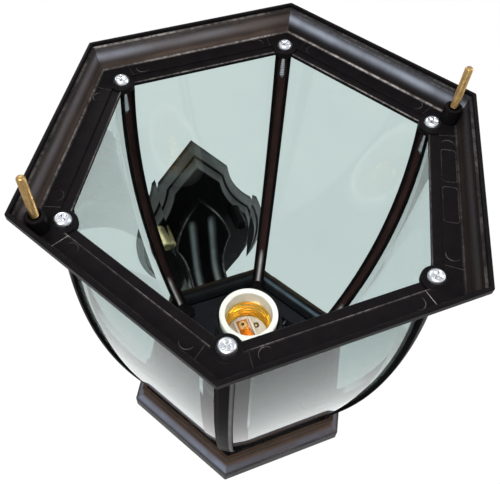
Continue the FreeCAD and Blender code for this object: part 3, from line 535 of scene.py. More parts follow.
class NodeSheet:
    """Adds nodes to a tree and links their sockets by name."""

    def __init__(self, tree: bpy.types.NodeTree) -> None:
        """Keeps the tree that nodes go into."""
        self.tree = tree

    def link(self, value: object, socket: bpy.types.NodeSocket) -> None:
        """Joins an output to an input, or sets the input to a plain value."""
        if isinstance(value, bpy.types.NodeSocket):
            self.tree.links.new(value, socket)
        else:
            socket.default_value = value

    def feed(self, node: bpy.types.Node, **values: object) -> bpy.types.Node:
        """Fills inputs and settings of a node.

        Args:
            node: Node to fill.
            values: Outputs or plain values by input name, with spaces written as underscores, or settings.

        Returns:
            The same node.
        """
        for key, value in values.items():
            socket = node.inputs.get(key.replace("_", " "))
            if socket is None:
                setattr(node, key, value)
            else:
                self.link(value, socket)
        return node

    def add(self, kind: str, **values: object) -> bpy.types.Node:
        """Adds a node by its type's name without the ShaderNode prefix, and fills it as feed does."""
        name = kind if kind.startswith("Node") else "ShaderNode" + kind
        return self.feed(self.tree.nodes.new(name), **values)

    def math(self, operation: str, first: object, second: object) -> bpy.types.NodeSocket:
        """Adds a Math node on two outputs or numbers and returns its output."""
        node = self.add("Math", operation=operation)
        self.link(first, node.inputs[0])
        self.link(second, node.inputs[1])
        return node.outputs[0]

    def mix(self, factor: object, first: object, second: object) -> bpy.types.NodeSocket:
        """Adds a colour Mix node and returns its output; its colour sockets come after the other types'."""
        node = self.add("Mix", data_type="RGBA")
        for place, value in ((0, factor), (6, first), (7, second)):
            self.link(value, node.inputs[place])
        return node.outputs[2]

    def span(self, value: bpy.types.NodeSocket, low: float, high: float, to_low: float = 0.0,
             to_high: float = 1.0) -> bpy.types.NodeSocket:
        """Maps a value from one range to another, held at its ends, and returns the output."""
        node = self.add("MapRange", Value=value, From_Min=low, From_Max=high, To_Min=to_low, To_Max=to_high)
        return node.outputs["Result"]

    def noise(self, vector: bpy.types.NodeSocket, scale: object, detail: float,
              roughness: float) -> bpy.types.NodeSocket:
        """Adds a noise texture and returns its value."""
        node = self.add("TexNoise", Vector=vector, Scale=scale, Detail=detail, Roughness=roughness)
        return node.outputs["Fac"]


def colour(red: float, green: float, blue: float) -> Colour:
    """Opaque linear colour from display values between 0 and 255."""
    shares = [value / 255.0 for value in (red, green, blue)]
    linear = [share / 12.92 if share <= 0.04045 else ((share + 0.055) / 1.055) ** 2.4 for share in shares]
    return (linear[0], linear[1], linear[2], 1.0)


class Effects:
    """Node groups for effects that several finishes share, each built once."""

    def __init__(self) -> None:
        """Builds every group."""
        self.grain = self._grain()
        self.rub_and_reflection = self._rub_and_reflection()
        self.smudge = self._smudge()

    @staticmethod
    def _group(name: str, inputs: dict[str, float | None],
               outputs: Sequence[str]) -> tuple[NodeSheet, bpy.types.NodeOutputs, bpy.types.Node]:
        """Opens a node group.

        Args:
            name: Name of the group.
            inputs: Default of each number that goes in; None stands for a vector.
            outputs: Names of the numbers that come out.

        Returns:
            Its node sheet, what goes in and its output node.
        """
        tree = bpy.data.node_groups.new(name, "ShaderNodeTree")
        for label, default in inputs.items():
            kind = "NodeSocketVector" if default is None else "NodeSocketFloat"
            socket = tree.interface.new_socket(label, in_out="INPUT", socket_type=kind)
            if default is not None:
                socket.default_value = default
        for label in outputs:
            tree.interface.new_socket(label, in_out="OUTPUT", socket_type="NodeSocketFloat")
        sheet = NodeSheet(tree)
        return sheet, sheet.add("NodeGroupInput").outputs, sheet.add("NodeGroupOutput")

    def _grain(self) -> bpy.types.NodeTree:
        """Skin of cast and sprayed metal: fine orange peel over slow waviness."""
        sheet, given, end = self._group("Cast skin", {"Place": None, "Scale": 900.0, "Waves": 0.5},
                                        ("Height", "Mottle"))
        coarser, fine_share = 0.11, 0.5
        fine = sheet.noise(given["Place"], given["Scale"], detail=3.0, roughness=0.55)
        scale = sheet.math("MULTIPLY", given["Scale"], coarser)
        slow = sheet.noise(given["Place"], scale, detail=2.0, roughness=0.5)
        swell = sheet.math("MULTIPLY", slow, given["Waves"])
        sheet.feed(end, Height=sheet.math("ADD", sheet.math("MULTIPLY", fine, fine_share), swell),
                   Mottle=sheet.span(slow, low=0.3, high=0.7))
        return sheet.tree

    def _rub_and_reflection(self) -> bpy.types.NodeTree:
        """Dry-brush rubbing and painted reflections that follow a mark: soft along the moulding, and broken
        along worn edges and painted highlight lines.
        """
        sheet, given, end = self._group(
            "Dry brushing", {"Place": None, "Run": None, "Bronze": 0.0, "Sheen": 0.0, "Edge": 0.0},
            ("Bronze", "Sheen", "Edge"))
        stretch = sheet.add("Mapping", Vector=given["Run"], Scale=(70.0, 420.0, 1.0))
        streak = sheet.noise(stretch.outputs["Vector"], scale=1.0, detail=3.0, roughness=0.5)
        cloud = sheet.noise(given["Place"], scale=60.0, detail=3.0, roughness=0.55)
        grit = sheet.noise(given["Place"], scale=520.0, detail=3.0, roughness=0.6)
        soft = sheet.math("MULTIPLY", sheet.span(streak, low=0.3, high=0.7, to_low=0.62),
                          sheet.span(cloud, low=0.3, high=0.65, to_low=0.65))
        drift = sheet.span(cloud, low=0.7, high=0.35, to_low=0.55)
        broken = sheet.math("MULTIPLY", sheet.span(grit, low=0.36, high=0.6, to_low=0.3), given["Edge"])
        patch = sheet.span(cloud, low=0.4, high=0.58, to_low=0.3)
        # The second output is a painted blue-grey reflection. The first is brown rubbing that is partly a
        # painted reflection, and the third carries worn edges with painted highlight lines.
        sheet.feed(end, Bronze=sheet.math("MULTIPLY", soft, given["Bronze"]),
                   Sheen=sheet.math("MULTIPLY", drift, given["Sheen"]),
                   Edge=sheet.math("MULTIPLY", broken, patch))
        return sheet.tree

    def _smudge(self) -> bpy.types.NodeTree:
        """Uneven gloss from handling, between two roughness values."""
        sheet, given, end = self._group(
            "Handled gloss", {"Place": None, "Scale": 40.0, "Low": 0.2, "High": 0.35}, ("Roughness", "Cloud"))
        noise = sheet.noise(given["Place"], given["Scale"], detail=4.0, roughness=0.62)
        share = sheet.span(noise, low=0.32, high=0.68)
        gap = sheet.math("SUBTRACT", given["High"], given["Low"])
        rough = sheet.math("ADD", given["Low"], sheet.math("MULTIPLY", share, gap))
        sheet.feed(end, Roughness=rough, Cloud=share)
        return sheet.tree


class Coat(NodeSheet):
    """Node sheet of a new material, with its Principled shader and the effects that finishes share."""

    def __init__(self, name: str, effects: Effects) -> None:
        """Opens the material."""
        self.material = bpy.data.materials.new(name)
        self.material.use_nodes = True
        super().__init__(self.material.node_tree)
        self.effects = effects
        self.shader = self.tree.nodes["Principled BSDF"]
        self.place = self.add("TexCoord").outputs["Object"]

    def effect(self, group: bpy.types.NodeTree, **values: object) -> bpy.types.NodeOutputs:
        """Places a node group on the Object coordinates and returns what comes out."""
        return self.add("Group", node_tree=group, Place=self.place, **values).outputs

    def gloss(self, scale: float, rough: Pair) -> bpy.types.NodeSocket:
        """Gives the shader an uneven gloss and returns its clouds."""
        gloss = self.effect(self.effects.smudge, Scale=scale, Low=rough[0], High=rough[1])
        self.feed(self.shader, Roughness=gloss["Roughness"])
        return gloss["Cloud"]

    def grain(self, scale: float, waves: float, peel: float, depth: float) -> bpy.types.NodeSocket:
        """Gives the shader a cast skin of a strength and a depth in metres, and returns its mottle."""
        grain = self.effect(self.effects.grain, Scale=scale, Waves=waves)
        bump = self.add("Bump", Strength=peel, Distance=depth, Height=grain["Height"])
        self.feed(self.shader, Normal=bump.outputs["Normal"])
        return grain["Mottle"]


@dataclass(frozen=True)
class Finish:
    """Base of the finishes.

    Attributes:
        name: Name of the material.
    """

    name: str

    def make(self, effects: Effects) -> bpy.types.Material:
        """Builds the material; every finish has its own way."""
        raise NotImplementedError


@dataclass(frozen=True)
class PaintFinish(Finish):
    """Sprayed paint on cast metal, dry-brushed over its mouldings, with reflections and highlight lines
    painted into its colour.

    Attributes:
        coat: Colour of the paint.
        bronze: Colour of the brown rubbing, which also stands in for reflections.
        sheen: Colour of the painted blue-grey reflection.
        edge: Colour of worn edges and of painted highlight lines.
        rough: Lowest and highest roughness.
        specular: Specular level of the paint.
        peel: Strength of the orange peel.
        grain: Scale and waves of the orange peel.
        depth: Its depth in metres.
        patches: Scale of the gloss's patches.
        fade: Share of each primary that is left where the paint is mottled.
        metal: How metallic the paint is where the brown rubbing lies.
        wear: Roughness that rubbing adds.
    """

    coat: Colour
    bronze: Colour
    sheen: Colour
    edge: Colour
    rough: Pair
    specular: float
    peel: float
    grain: Pair = (1500.0, 0.35)
    depth: float = 0.00012
    patches: float = 55.0
    fade: Triple = (0.75, 0.75, 0.8)
    metal: float = 0.4
    wear: float = 0.1

    def make(self, effects: Effects) -> bpy.types.Material:
        """Builds the material."""
        coat = Coat(self.name, effects)
        mottle = coat.grain(*self.grain, self.peel, self.depth)
        gloss = coat.effect(effects.smudge, Scale=self.patches, Low=self.rough[0], High=self.rough[1])
        marks, run = (coat.add("Attribute", attribute_name=label).outputs["Vector"]
                      for label in ("marks", "run"))
        mark = coat.add("SeparateXYZ", Vector=marks).outputs
        rub_and_reflection = coat.effect(effects.rub_and_reflection, Run=run, Bronze=mark["X"], Sheen=mark["Y"], Edge=mark["Z"])
        faded = (*(share * value for share, value in zip(self.fade, self.coat)), 1.0)
        paint = coat.mix(mottle, self.coat, faded)
        # Mixes in the brown rubbing, which is partly a painted reflection, the painted blue-grey reflection,
        # and worn edges with painted highlight lines.
        for layer, tint in (("Bronze", self.bronze), ("Sheen", self.sheen), ("Edge", self.edge)):
            paint = coat.mix(rub_and_reflection[layer], paint, tint)
        worn = coat.math("MULTIPLY", rub_and_reflection["Bronze"], self.wear)
        coat.feed(coat.shader, Base_Color=paint, Metallic=coat.math("MULTIPLY", rub_and_reflection["Bronze"], self.metal),
                  Roughness=coat.math("ADD", gloss["Roughness"], worn), Specular_IOR_Level=self.specular)
        return coat.material


@dataclass(frozen=True)
class MetalFinish(Finish):
    """Bare or plated metal with fine handling marks.

    Attributes:
        tone: Main colour.
        tarnish: Colour of the darker patches.
        rough: Lowest and highest roughness.
        patches: Scale of the patches.
        peel: Strength of the surface's unevenness.
        grain: Scale and waves of the unevenness.
        depth: Its depth in metres.
    """

    tone: Colour
    tarnish: Colour
    rough: Pair
    patches: float = 240.0
    peel: float = 0.15
    grain: Pair = (2600.0, 0.6)
    depth: float = 0.00008

    def make(self, effects: Effects) -> bpy.types.Material:
        """Builds the material."""
        coat = Coat(self.name, effects)
        coat.grain(*self.grain, self.peel, self.depth)
        cloud = coat.gloss(self.patches, self.rough)
        coat.feed(coat.shader, Base_Color=coat.mix(cloud, self.tone, self.tarnish), Metallic=1.0)
        return coat.material


@dataclass(frozen=True)
class MouldedFinish(Finish):
    """Moulded or glazed material with a slight mottle: plastic, porcelain or sleeving.

    Attributes:
        tone: Main colour.
        shade: Colour of the mottle.
        rough: Lowest and highest roughness.
        clear: Weight of the glaze.
        peel: Strength of the surface's unevenness.
        specular: Specular level of the surface.
        clear_rough: Roughness of the glaze.
        patches: Scale of the gloss's patches.
        grain: Scale and waves of the unevenness.
        depth: Its depth in metres.
    """

    tone: Colour
    shade: Colour
    rough: Pair
    clear: float = 0.0
    peel: float = 0.1
    specular: float = 0.5
    clear_rough: float = 0.05
    patches: float = 90.0
    grain: Pair = (700.0, 0.8)
    depth: float = 0.0001

    def make(self, effects: Effects) -> bpy.types.Material:
        """Builds the material."""
        coat = Coat(self.name, effects)
        mottle = coat.grain(*self.grain, self.peel, self.depth)
        coat.gloss(self.patches, self.rough)
        coat.feed(coat.shader, Base_Color=coat.mix(mottle, self.tone, self.shade), Coat_Weight=self.clear,
                  Coat_Roughness=self.clear_rough, Specular_IOR_Level=self.specular)
        return coat.material


@dataclass(frozen=True)
class GlassFinish(Finish):
    """Clear pane glass with a faint blue-green body.

    Attributes:
        body: Tint taken at each face.
        haze: Tint of the faint clouds.
        rough: Lowest and highest roughness.
        patches: Scale of the clouds.
        refraction: Index of refraction.
        mirror: Tint of the faces' reflections.
        shade: Share of the lamps' light that each face keeps from what is behind it.
    """

    body: Colour
    haze: Colour
    rough: Pair = (0.0, 0.004)
    patches: float = 9.0
    refraction: float = 1.48
    mirror: Colour = (0.35, 0.35, 0.35, 1.0)
    shade: float = 0.3

    def make(self, effects: Effects) -> bpy.types.Material:
        """Builds the material."""
        coat = Coat(self.name, effects)
        cloud = coat.gloss(self.patches, self.rough)
        shadow = coat.add("LightPath").outputs["Is Shadow Ray"]
        coat.feed(coat.shader, Base_Color=coat.mix(cloud, self.body, self.haze), Transmission_Weight=1.0,
                  IOR=self.refraction, Specular_Tint=self.mirror,
                  Alpha=coat.span(shadow, low=0.0, high=1.0, to_low=1.0, to_high=self.shade))
        return coat.material


@dataclass
class Palette:
    """Every finish of the lantern as a ready material."""

    effects: Effects

    def __post_init__(self) -> None:
        """Builds the materials."""
        # The second, third and fourth colour of each paint are its brown rubbing, which is partly a painted
        # reflection, its painted reflection, and its worn edges with painted highlight lines. The rib's
        # near-white third colour is a painted highlight.
        black, bronze, blue = colour(20, 18, 19), colour(112, 96, 87), colour(164, 170, 184)
        copper, pale = colour(106, 86, 73), colour(200, 192, 188)
        finishes: dict[str, Finish] = {
            "ring": PaintFinish("ring_paint", black, bronze, blue, pale,
                                rough=(0.24, 0.34), specular=0.025, peel=0.2),
            "rib": PaintFinish("rib_paint", black, colour(84, 61, 56), colour(240, 238, 238), pale,
                               rough=(0.3, 0.4), specular=0.004, peel=0.08),
            "foot": PaintFinish("foot_paint", black, copper, colour(140, 148, 166), pale,
                                rough=(0.22, 0.32), specular=0.02, peel=0.2),
            "plate": PaintFinish("plate_paint", black, colour(96, 88, 80), colour(212, 211, 212), pale,
                                 rough=(0.14, 0.24), specular=0.04, peel=0.15),
            "zinc": MetalFinish("bright_zinc", colour(206, 209, 214), colour(180, 184, 190),
                                rough=(0.24, 0.36), peel=0.04),
            "rivet": MetalFinish("rivet_grey", colour(158, 152, 134), colour(132, 126, 108),
                                 rough=(0.3, 0.44)),
            "stud": MetalFinish("tan_stud", colour(178, 148, 100), colour(138, 110, 70), rough=(0.26, 0.44)),
            "brass": MetalFinish("gold_shell", colour(250, 218, 124), colour(242, 204, 106),
                                 rough=(0.07, 0.13), peel=0.0),
            "nut": MetalFinish("pale_nut", colour(240, 224, 180), colour(222, 198, 146), rough=(0.4, 0.52)),
            "copper": MetalFinish("spring_copper", colour(236, 178, 118), colour(214, 150, 92),
                                  rough=(0.2, 0.38)),
            "porcelain": MouldedFinish("white_porcelain", colour(236, 233, 226), colour(228, 224, 214),
                                       rough=(0.16, 0.3), clear=0.3, peel=0.08),
            "cup": MouldedFinish("cup_black", colour(24, 24, 25), colour(30, 30, 31),
                                 rough=(0.3, 0.45), peel=0.2, specular=0.01),
            "brown": MouldedFinish("brown_sleeve", colour(96, 60, 38), colour(84, 50, 32), rough=(0.4, 0.55)),
            "blue": MouldedFinish("blue_sleeve", colour(52, 92, 160), colour(44, 80, 142), rough=(0.4, 0.55)),
            "glass": GlassFinish("pane_glass", colour(197, 213, 210), colour(192, 208, 206)),
        }
        self.materials: dict[str, bpy.types.Material] = {
            key: finish.make(self.effects) for key, finish in finishes.items()}

    def __getitem__(self, key: str) -> bpy.types.Material:
        """Material of a finish."""
        return self.materials[key]


# Pieces

def new_mesh(name: str, skin: Skin, scale: float = MM) -> bpy.types.Mesh:
    """Mesh of a surface, its points scaled to metres."""
    mesh = bpy.data.meshes.new(name)
    mesh.from_pydata((skin.points * scale).tolist(), [], skin.quads.tolist() + skin.caps)
    return mesh


def weld(mesh: bpy.types.Mesh) -> None:
    """Joins the points of a mesh that coincide and turns its faces outwards."""
    shape = bmesh.new()
    shape.from_mesh(mesh)
    bmesh.ops.remove_doubles(shape, verts=shape.verts, dist=WELD)
    bmesh.ops.recalc_face_normals(shape, faces=shape.faces)
    shape.to_mesh(mesh)
    shape.free()


def in_scene(name: str, data: bpy.types.ID) -> bpy.types.Object:
    """Puts a new object with its data into the scene."""
    item = bpy.data.objects.new(name, data)
    bpy.context.scene.collection.objects.link(item)
    return item


def make_piece(name: str, skin: Skin, material: bpy.types.Material, replaced: Sequence[str],
               body: Body = Body.LANTERN, sharp: float = 40.0) -> bpy.types.Object:
    """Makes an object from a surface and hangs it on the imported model.

    Args:
        name: Name of the piece.
        skin: Its surface, in millimetres.
        material: Its finish.
        replaced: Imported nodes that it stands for.
        body: Body that it rides on.
        sharp: Angle in degrees above which an edge stays sharp.

    Returns:
        The finished object.
    """
    mesh = new_mesh(name, skin)
    length = np.column_stack([skin.run * MM, np.zeros(len(skin.run))])
    for label, values in (("marks", skin.marks), ("run", length)):
        layer = mesh.attributes.new(label, "FLOAT_VECTOR", "POINT")
        layer.data.foreach_set("vector", values.astype(np.float32).ravel())
    weld(mesh)
    mesh.polygons.foreach_set("use_smooth", np.ones(len(mesh.polygons), dtype=bool))
    mesh.set_sharp_from_angle(angle=math.radians(sharp))
    mesh.materials.append(material)
    piece = in_scene(name, mesh)
    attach(piece, body.value)
    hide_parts(*replaced)
    LOG.info("%s: %d faces, for %s", name, len(mesh.polygons), ", ".join(replaced))
    return piece


def drill(piece: bpy.types.Object, hole: Skin) -> None:
    """Takes a closed surface out of a piece.

    Args:
        piece: Piece to cut.
        hole: Surface of what goes, in millimetres.
    """
    mesh = new_mesh("drill", hole)
    weld(mesh)
    tool = in_scene("drill", mesh)
    cut = piece.modifiers.new("drill", "BOOLEAN")
    cut.operation, cut.object, cut.solver = "DIFFERENCE", tool, "EXACT"
    bpy.context.view_layer.update()
    drilled = bpy.data.meshes.new_from_object(piece.evaluated_get(bpy.context.evaluated_depsgraph_get()))
    piece.modifiers.clear()
    piece.data = drilled
    bpy.data.objects.remove(tool)


def at_lantern(skin: Skin) -> Skin:
    """Carries a surface from the lantern's axis to its place off the wall."""
    return skin.moved(0.0, -SIZES.reach, 0.0)


def round_about(skin: Skin, places: Sequence[Corner]) -> Skin:
    """Gathers copies of a surface turned to several corners."""
    return joined([skin.turned(place.value) for place in places])


def threaded_rod(radius: float, depth: float, pitch: float, low: float, high: float,
                 point: float = 0.0) -> Skin:
    """Upright rod with a helical thread and a chamfered top, its lower end flat or drawn to a point.

    The radius is the crest radius less the depth times a triangle wave of z / pitch - angle / turn.

    Args:
        radius: Crest radius.
        depth: Depth of the thread.
        pitch: Rise of one turn.
        low: Level of the lower end.
        high: Level of the upper end.
        point: Length of the point at the lower end.

    Returns:
        The closed rod.
    """
    steps, rings_a_turn, chamfer_depth, tip = 20, 6, 1.6, 0.12
    angle = around(steps)[None, :]
    level = np.linspace(low, high, int((high - low) / pitch * rings_a_turn))[:, None]
    wave = np.abs(2.0 * np.mod(level / pitch - angle / TURN, 1.0) - 1.0)
    chamfer = np.clip((high - level) / (2.0 * depth), 0.0, 1.0)
    reach = np.minimum(radius - depth * wave, radius - depth * chamfer_depth * (1.0 - chamfer))
    reach = reach * (np.clip((level - low) / point, tip, 1.0) if point > 0.0 else 1.0)
    return woven(polar(reach, angle, level), wrap_columns=True, cap_rows=True)


@dataclass
class PanScrew:
    """Pan-head screw with a cross recess, its head's seat at z = 0 and pointing down.

    The head is a polar grid: its height is a rounded pan, less a recess that is deepest where the point lies
    within either arm of the cross.

    Attributes:
        radius: Radius of the head.
        height: Height of the head.
        shank: Radius of the shank.
        length: Length of the shank.
        crown: Share of the radius where the pan starts to fall.
        fall: Share of the height that it falls.
        cross: Half width, length and slope of the recess's arms, as shares of the radius.
        depth: Depth of the recess, as a share of the height.
        wall: Height of the upright wall, as a share of the height.
        thread: Depth, pitch and point of the thread, as shares of the shank's radius.
        roundness: Power of the pan's fall.
        floor: Share of the depth at the middle, share of the radius that takes off one, and least share.
        rings: End and number of the rings over the recess, start and number of those out to the wall.
        overlap: How far the shank reaches into the head.
    """

    radius: float
    height: float
    shank: float
    length: float
    crown: float = 0.55
    fall: float = 0.55
    cross: Triple = (0.12, 0.52, 0.13)
    depth: float = 0.2
    wall: float = 0.42
    thread: Triple = (0.15, 0.6, 2.0)
    roundness: float = 2.6
    floor: Triple = (1.15, 0.8, 0.3)
    rings: tuple[tuple[float, int], ...] = ((0.68, 46), (0.70, 12))
    overlap: float = 0.2

    def inside(self, across: np.ndarray, along: np.ndarray) -> np.ndarray:
        """1 within one arm of the cross and 0 outside, with sloping walls."""
        arm, long, slope = (share * self.radius for share in self.cross)
        side = np.clip((arm - np.abs(across)) / slope + 0.5, 0.0, 1.0)
        ends = np.clip((long - np.abs(along)) / slope + 0.5, 0.0, 1.0)
        return side * ends

    def skin(self) -> Skin:
        """Head and threaded shank."""
        angle = around(Round.SCREW)[:, None]
        (inner, many), (outer, few) = self.rings
        share = np.concatenate([np.linspace(0.0, inner, many), np.linspace(outer, 1.0, few)])[None, :]
        pan = self.height * (1.0 - ramp(share, self.crown, 1.0) ** self.roundness * self.fall)
        top = polar(self.radius * share, angle, pan)
        x, y = top[..., 0], top[..., 1]
        recess = np.maximum(self.inside(x, y), self.inside(y, x)) * self.depth * self.height
        deepest, slope, least = self.floor
        top[..., 2] -= recess * np.clip(deepest - share / slope, least, 1.0)
        rim = np.array([(self.radius, self.wall * self.height), (self.radius, 0.0), (0.0, 0.0)])
        wall = polar(rim[:, 0], angle, rim[:, 1])
        head = woven(np.concatenate([top, wall], axis=1), wrap_rows=True)
        depth, pitch, point = (share * self.shank for share in self.thread)
        return joined([head, threaded_rod(self.shank, depth, pitch, -self.length, self.overlap, point)])


@dataclass
class TopRing:
    """Cast ring at the top, with its lugs, stud bosses, studs and screws.

    Marks of the dry-brush rubbing and of painted light follow the share of the sloping inside that a point
    has
    climbed: brown rubbing that is partly a painted reflection, a painted blue-grey reflection, painted
    highlight lines along the edges and worn paint on the ledge, set flat by flat and end by end as the light
    falls there. A band is the middle and width of a bell, a line its widths across and up. The table for both
    ends of each flat gives the brown rubbing, the painted reflection, the painted foot line and the worn
    ledge, and the lip table the painted highlight lines on the lip and step of each flat.
    """

    edge_radius: float = 0.45
    mitre_radius: float = 0.9
    profile_step: float = 0.6
    rim_inside: float = 88.4
    shoulder: float = 87.4
    shoulder_drop: float = 2.0
    slope_bow: float = 0.6
    slope_ends: Pair = (0.4, 2.2)
    lip_width: float = 4.2
    lip_drop: float = 0.9
    apron_width: float = 1.6
    apron_rise: float = 1.0
    cove: Triple = (0.5, 1.6, 1.3)
    bevel: Triple = (1.1, 3.0, 4.1)
    lug_radius: float = 6.0
    lug_rise: float = 0.12
    lug_gap: float = 0.05
    lug_edge: float = 0.5
    boss_radius: float = 4.3
    boss_height: float = 8.1
    boss_taper: float = 0.3
    boss_edge: float = 0.7
    overlap: float = 0.5
    stud_radius: float = 1.85
    stud_rise: float = 17.0
    stud_thread: Pair = (0.3, 0.7)
    stud_root: float = 2.5
    screw_head: Pair = (3.85, 2.6)
    screw_shank: Pair = (2.0, 21.0)
    screw_turns: tuple[float, ...] = (17.0, 52.0, -24.0, 40.0, 8.0, 63.0)
    pin_mark_radius: float = 3.0
    pin_mark_place: float = 30.0
    pin_mark_highlight: float = 0.22
    pin_mark_fade: Pair = (0.1, 1.0)
    bead_height: float = 0.12
    bead_width: float = 0.3
    bead_sides: int = 8
    frame_bead_width: float = 0.35
    frame_half_width: float = 3.2
    frame_ends: Pair = (8.0, 27.0)
    frame_shift: float = 22.0
    frame_corner: float = 1.5
    frame_highlight: Triple = (0.1, 0.25, 2.0)
    seam_places: Pair = (35.5, 36.5)
    seam_inset: float = 0.2
    seam_points: int = 12
    seam_highlight: Pair = (0.5, 0.08)
    # The bands and lines below set painted reflections and painted highlight lines as well as brown rubbing.
    # The tables set them flat by flat as the light falls.
    band_rise: tuple[float, ...] = (0.0, 0.06, 0.14, 0.24, 0.34, 0.48, 0.62, 0.76, 0.84, 0.92, 0.97, 1.0)
    band_bronze_and_reflection: tuple[float, ...] = (0.2, 0.6, 0.7, 0.4, 0.45, 0.75, 0.95, 0.7, 0.3, 0.3, 0.75, 0.2)
    painted_sheen_band: Pair = (0.58, 0.19)
    crest_band: Pair = (0.95, 0.04)
    crest_painted_sheen: float = 0.2
    painted_highlight_band: Pair = (0.86, 0.03)
    painted_highlight_weight: float = 0.3
    outer_face: Pair = (85.0, 85.6)
    bevel_fade: Pair = (2.9, 3.2)
    outer_painted_light: Triple = (0.6, 0.8, 0.3)
    foot_lift: float = 0.25
    foot_line: Pair = (0.45, 0.35)
    lip_line: Pair = (0.3, 0.35)
    step_line: Pair = (0.35, 0.3)
    ledge_places: Places = (87.1, 87.3, 88.4, 88.6)
    ledge_height: float = 0.3
    brushing_and_light: tuple[tuple[tuple[float, ...], ...], ...] = (
        ((0.06, 0.85, 0.9, 0.1), (0.06, 1.00, 0.9, 0.1)), ((0.95, 0.05, 0.6, 0.1), (0.75, 0.65, 0.5, 0.5)),
        ((0.60, 0.22, 0.3, 0.1), (0.60, 0.20, 0.3, 0.1)), ((0.60, 0.22, 0.1, 0.0), (0.60, 0.22, 0.1, 0.0)),
        ((0.60, 0.22, 0.1, 0.0), (0.30, 0.10, 0.1, 0.0)), ((0.16, 0.04, 0.1, 0.1), (0.16, 0.06, 0.1, 0.1)))
    lip_highlight_lines: tuple[Pair, ...] = (
        (0.75, 0.0), (0.50, 0.0), (0.40, 0.0), (0.05, 0.35), (0.05, 0.35), (0.30, 0.0))

    @property
    def step(self) -> float:
        """Distance of the lip's step from the axis, square to a flat."""
        return SIZES.opening + self.lip_width

    @property
    def crown(self) -> float:
        """Level of the top of the stud bosses."""
        return SIZES.flange_top + self.boss_height

    def section(self) -> np.ndarray:
        """Profile of the ring as apothem and height, corners softened."""
        s, step = SIZES, self.step
        apron, top, lip = s.rib_flat(s.apron_bottom), s.rim_top, s.flange_top - self.lip_drop
        toe, shoulder = apron + self.apron_width, s.rim_top - self.shoulder_drop
        cove_in, cove_out, cove_bow = self.cove
        bevel_in, bevel_top, bevel_low = self.bevel
        corners = [
            (self.rim_inside, top), (self.rim_inside, shoulder), (self.shoulder, shoulder),
            (s.flange_out, s.flange_top, self.slope_bow), (step, s.flange_top), (step, lip), (s.opening, lip),
            (s.opening, s.flange_under), (apron, s.flange_under), (apron, s.apron_bottom),
            (toe, s.apron_bottom), (toe, s.apron_bottom + self.apron_rise),
            (s.flange_out + cove_in, s.flange_under, cove_bow),
            (s.flange_out + cove_out, s.flange_top), (s.rim_out - bevel_in, top - bevel_low, self.slope_bow),
            (s.rim_out, top - bevel_top), (s.rim_out, top),
        ]
        return divided(softened(outline(corners, steps=16), self.edge_radius), self.profile_step)

    def marks(self, profile: np.ndarray) -> np.ndarray:
        """Dry-brush rubbing and painted light at both ends of each flat: bands of rubbing and painted
        reflection up the inside, painted light on the bevel outside, and worn edges with painted highlight
        lines.

        Args:
            profile: Rows of apothem and height.

        Returns:
            Marks of every profile point at both ends of each flat.
        """
        s = SIZES
        apothem, height = profile.T
        low, high = self.slope_ends
        rise = (height - s.flange_top - low) / (s.rim_top - high - s.flange_top - low)
        inside = ((rise > 0.0) & (rise < 1.0) & (apothem < self.shoulder)).astype(float)
        below = ramp(s.rim_top - height, *self.bevel_fade)
        outside = ramp(apothem, *self.outer_face) * below * (1.0 - inside)
        # Bands up the inside: brown rubbing that is partly a painted reflection, a painted blue-grey
        # reflection and a painted highlight line near the top.
        bronze = np.interp(rise, self.band_rise, self.band_bronze_and_reflection) * inside
        sheen = (bell(rise, *self.painted_sheen_band) + self.crest_painted_sheen * bell(rise, *self.crest_band)) * inside
        line = bell(rise, *self.painted_highlight_band) * inside

        def line_at(place: float, level: float, widths: Pair) -> np.ndarray:
            """Soft line along an edge of the profile."""
            return bell(apothem, place, widths[0]) * bell(height, level, widths[1])

        # Painted highlight lines along the foot of the slope, the lip and its step, and worn paint on the
        # ledge.
        foot = line_at(s.flange_out, s.flange_top + self.foot_lift, self.foot_line)
        lip = line_at(s.opening, s.flange_top - self.lip_drop, self.lip_line)
        step = line_at(self.step, s.flange_top, self.step_line)
        ledge = plateau(apothem, self.ledge_places)
        ledge = ledge * (np.abs(height - s.rim_top + self.shoulder_drop) < self.ledge_height)
        # Amounts differ flat by flat and end by end as the light falls there, so they paint light as well as
        # rubbing.
        ends = np.array(self.brushing_and_light)[:, :, None, :]
        lips = np.array(self.lip_highlight_lines)[:, None, None, :]
        edge = ends[..., 2] * foot + ends[..., 3] * ledge + self.painted_highlight_weight * ends[..., 1] * line
        edge = edge + lips[..., 0] * lip + lips[..., 1] * step
        marks = np.stack([ends[..., 0] * bronze, ends[..., 1] * sheen, edge], axis=-1)
        return marks + outside[:, None] * np.array(self.outer_painted_light)

    def bead(self, points: np.ndarray, width: float, edge: np.ndarray) -> Skin:
        """Low round bead on the flange along a line: an ellipse carried square to the line.

        Args:
            points: Rows of x and y along the bead.
            width: Width of the bead.
            edge: Strength of the painted highlight along the bead at each point.

        Returns:
            The closed bead.
        """
        angle = around(self.bead_sides)
        across = width / 2.0 * np.cos(angle)
        plan = points[:, None, :] + square_to(points)[:, None, :] * across[None, :, None]
        level = np.broadcast_to(SIZES.flange_top + self.bead_height * np.sin(angle), plan.shape[:2])
        return woven(np.concatenate([plan, level[:, :, None]], axis=-1), wrap_columns=True, cap_rows=True,
                     marks=edge[:, None, None] * np.array([0.0, 0.0, 1.0]))

    def mould_lines(self) -> list[Skin]:
        """Raised outlines of mould inserts: two frames on the right front flat and seams beside the lugs."""
        s = SIZES
        middle, half = (self.step + s.flange_out) / 2.0, self.frame_half_width
        low, high = self.frame_ends
        frame = softened(rectangle((middle - half, low), (middle + half, high)), self.frame_corner, steps=6)
        frame = np.vstack([frame, frame[:1]])
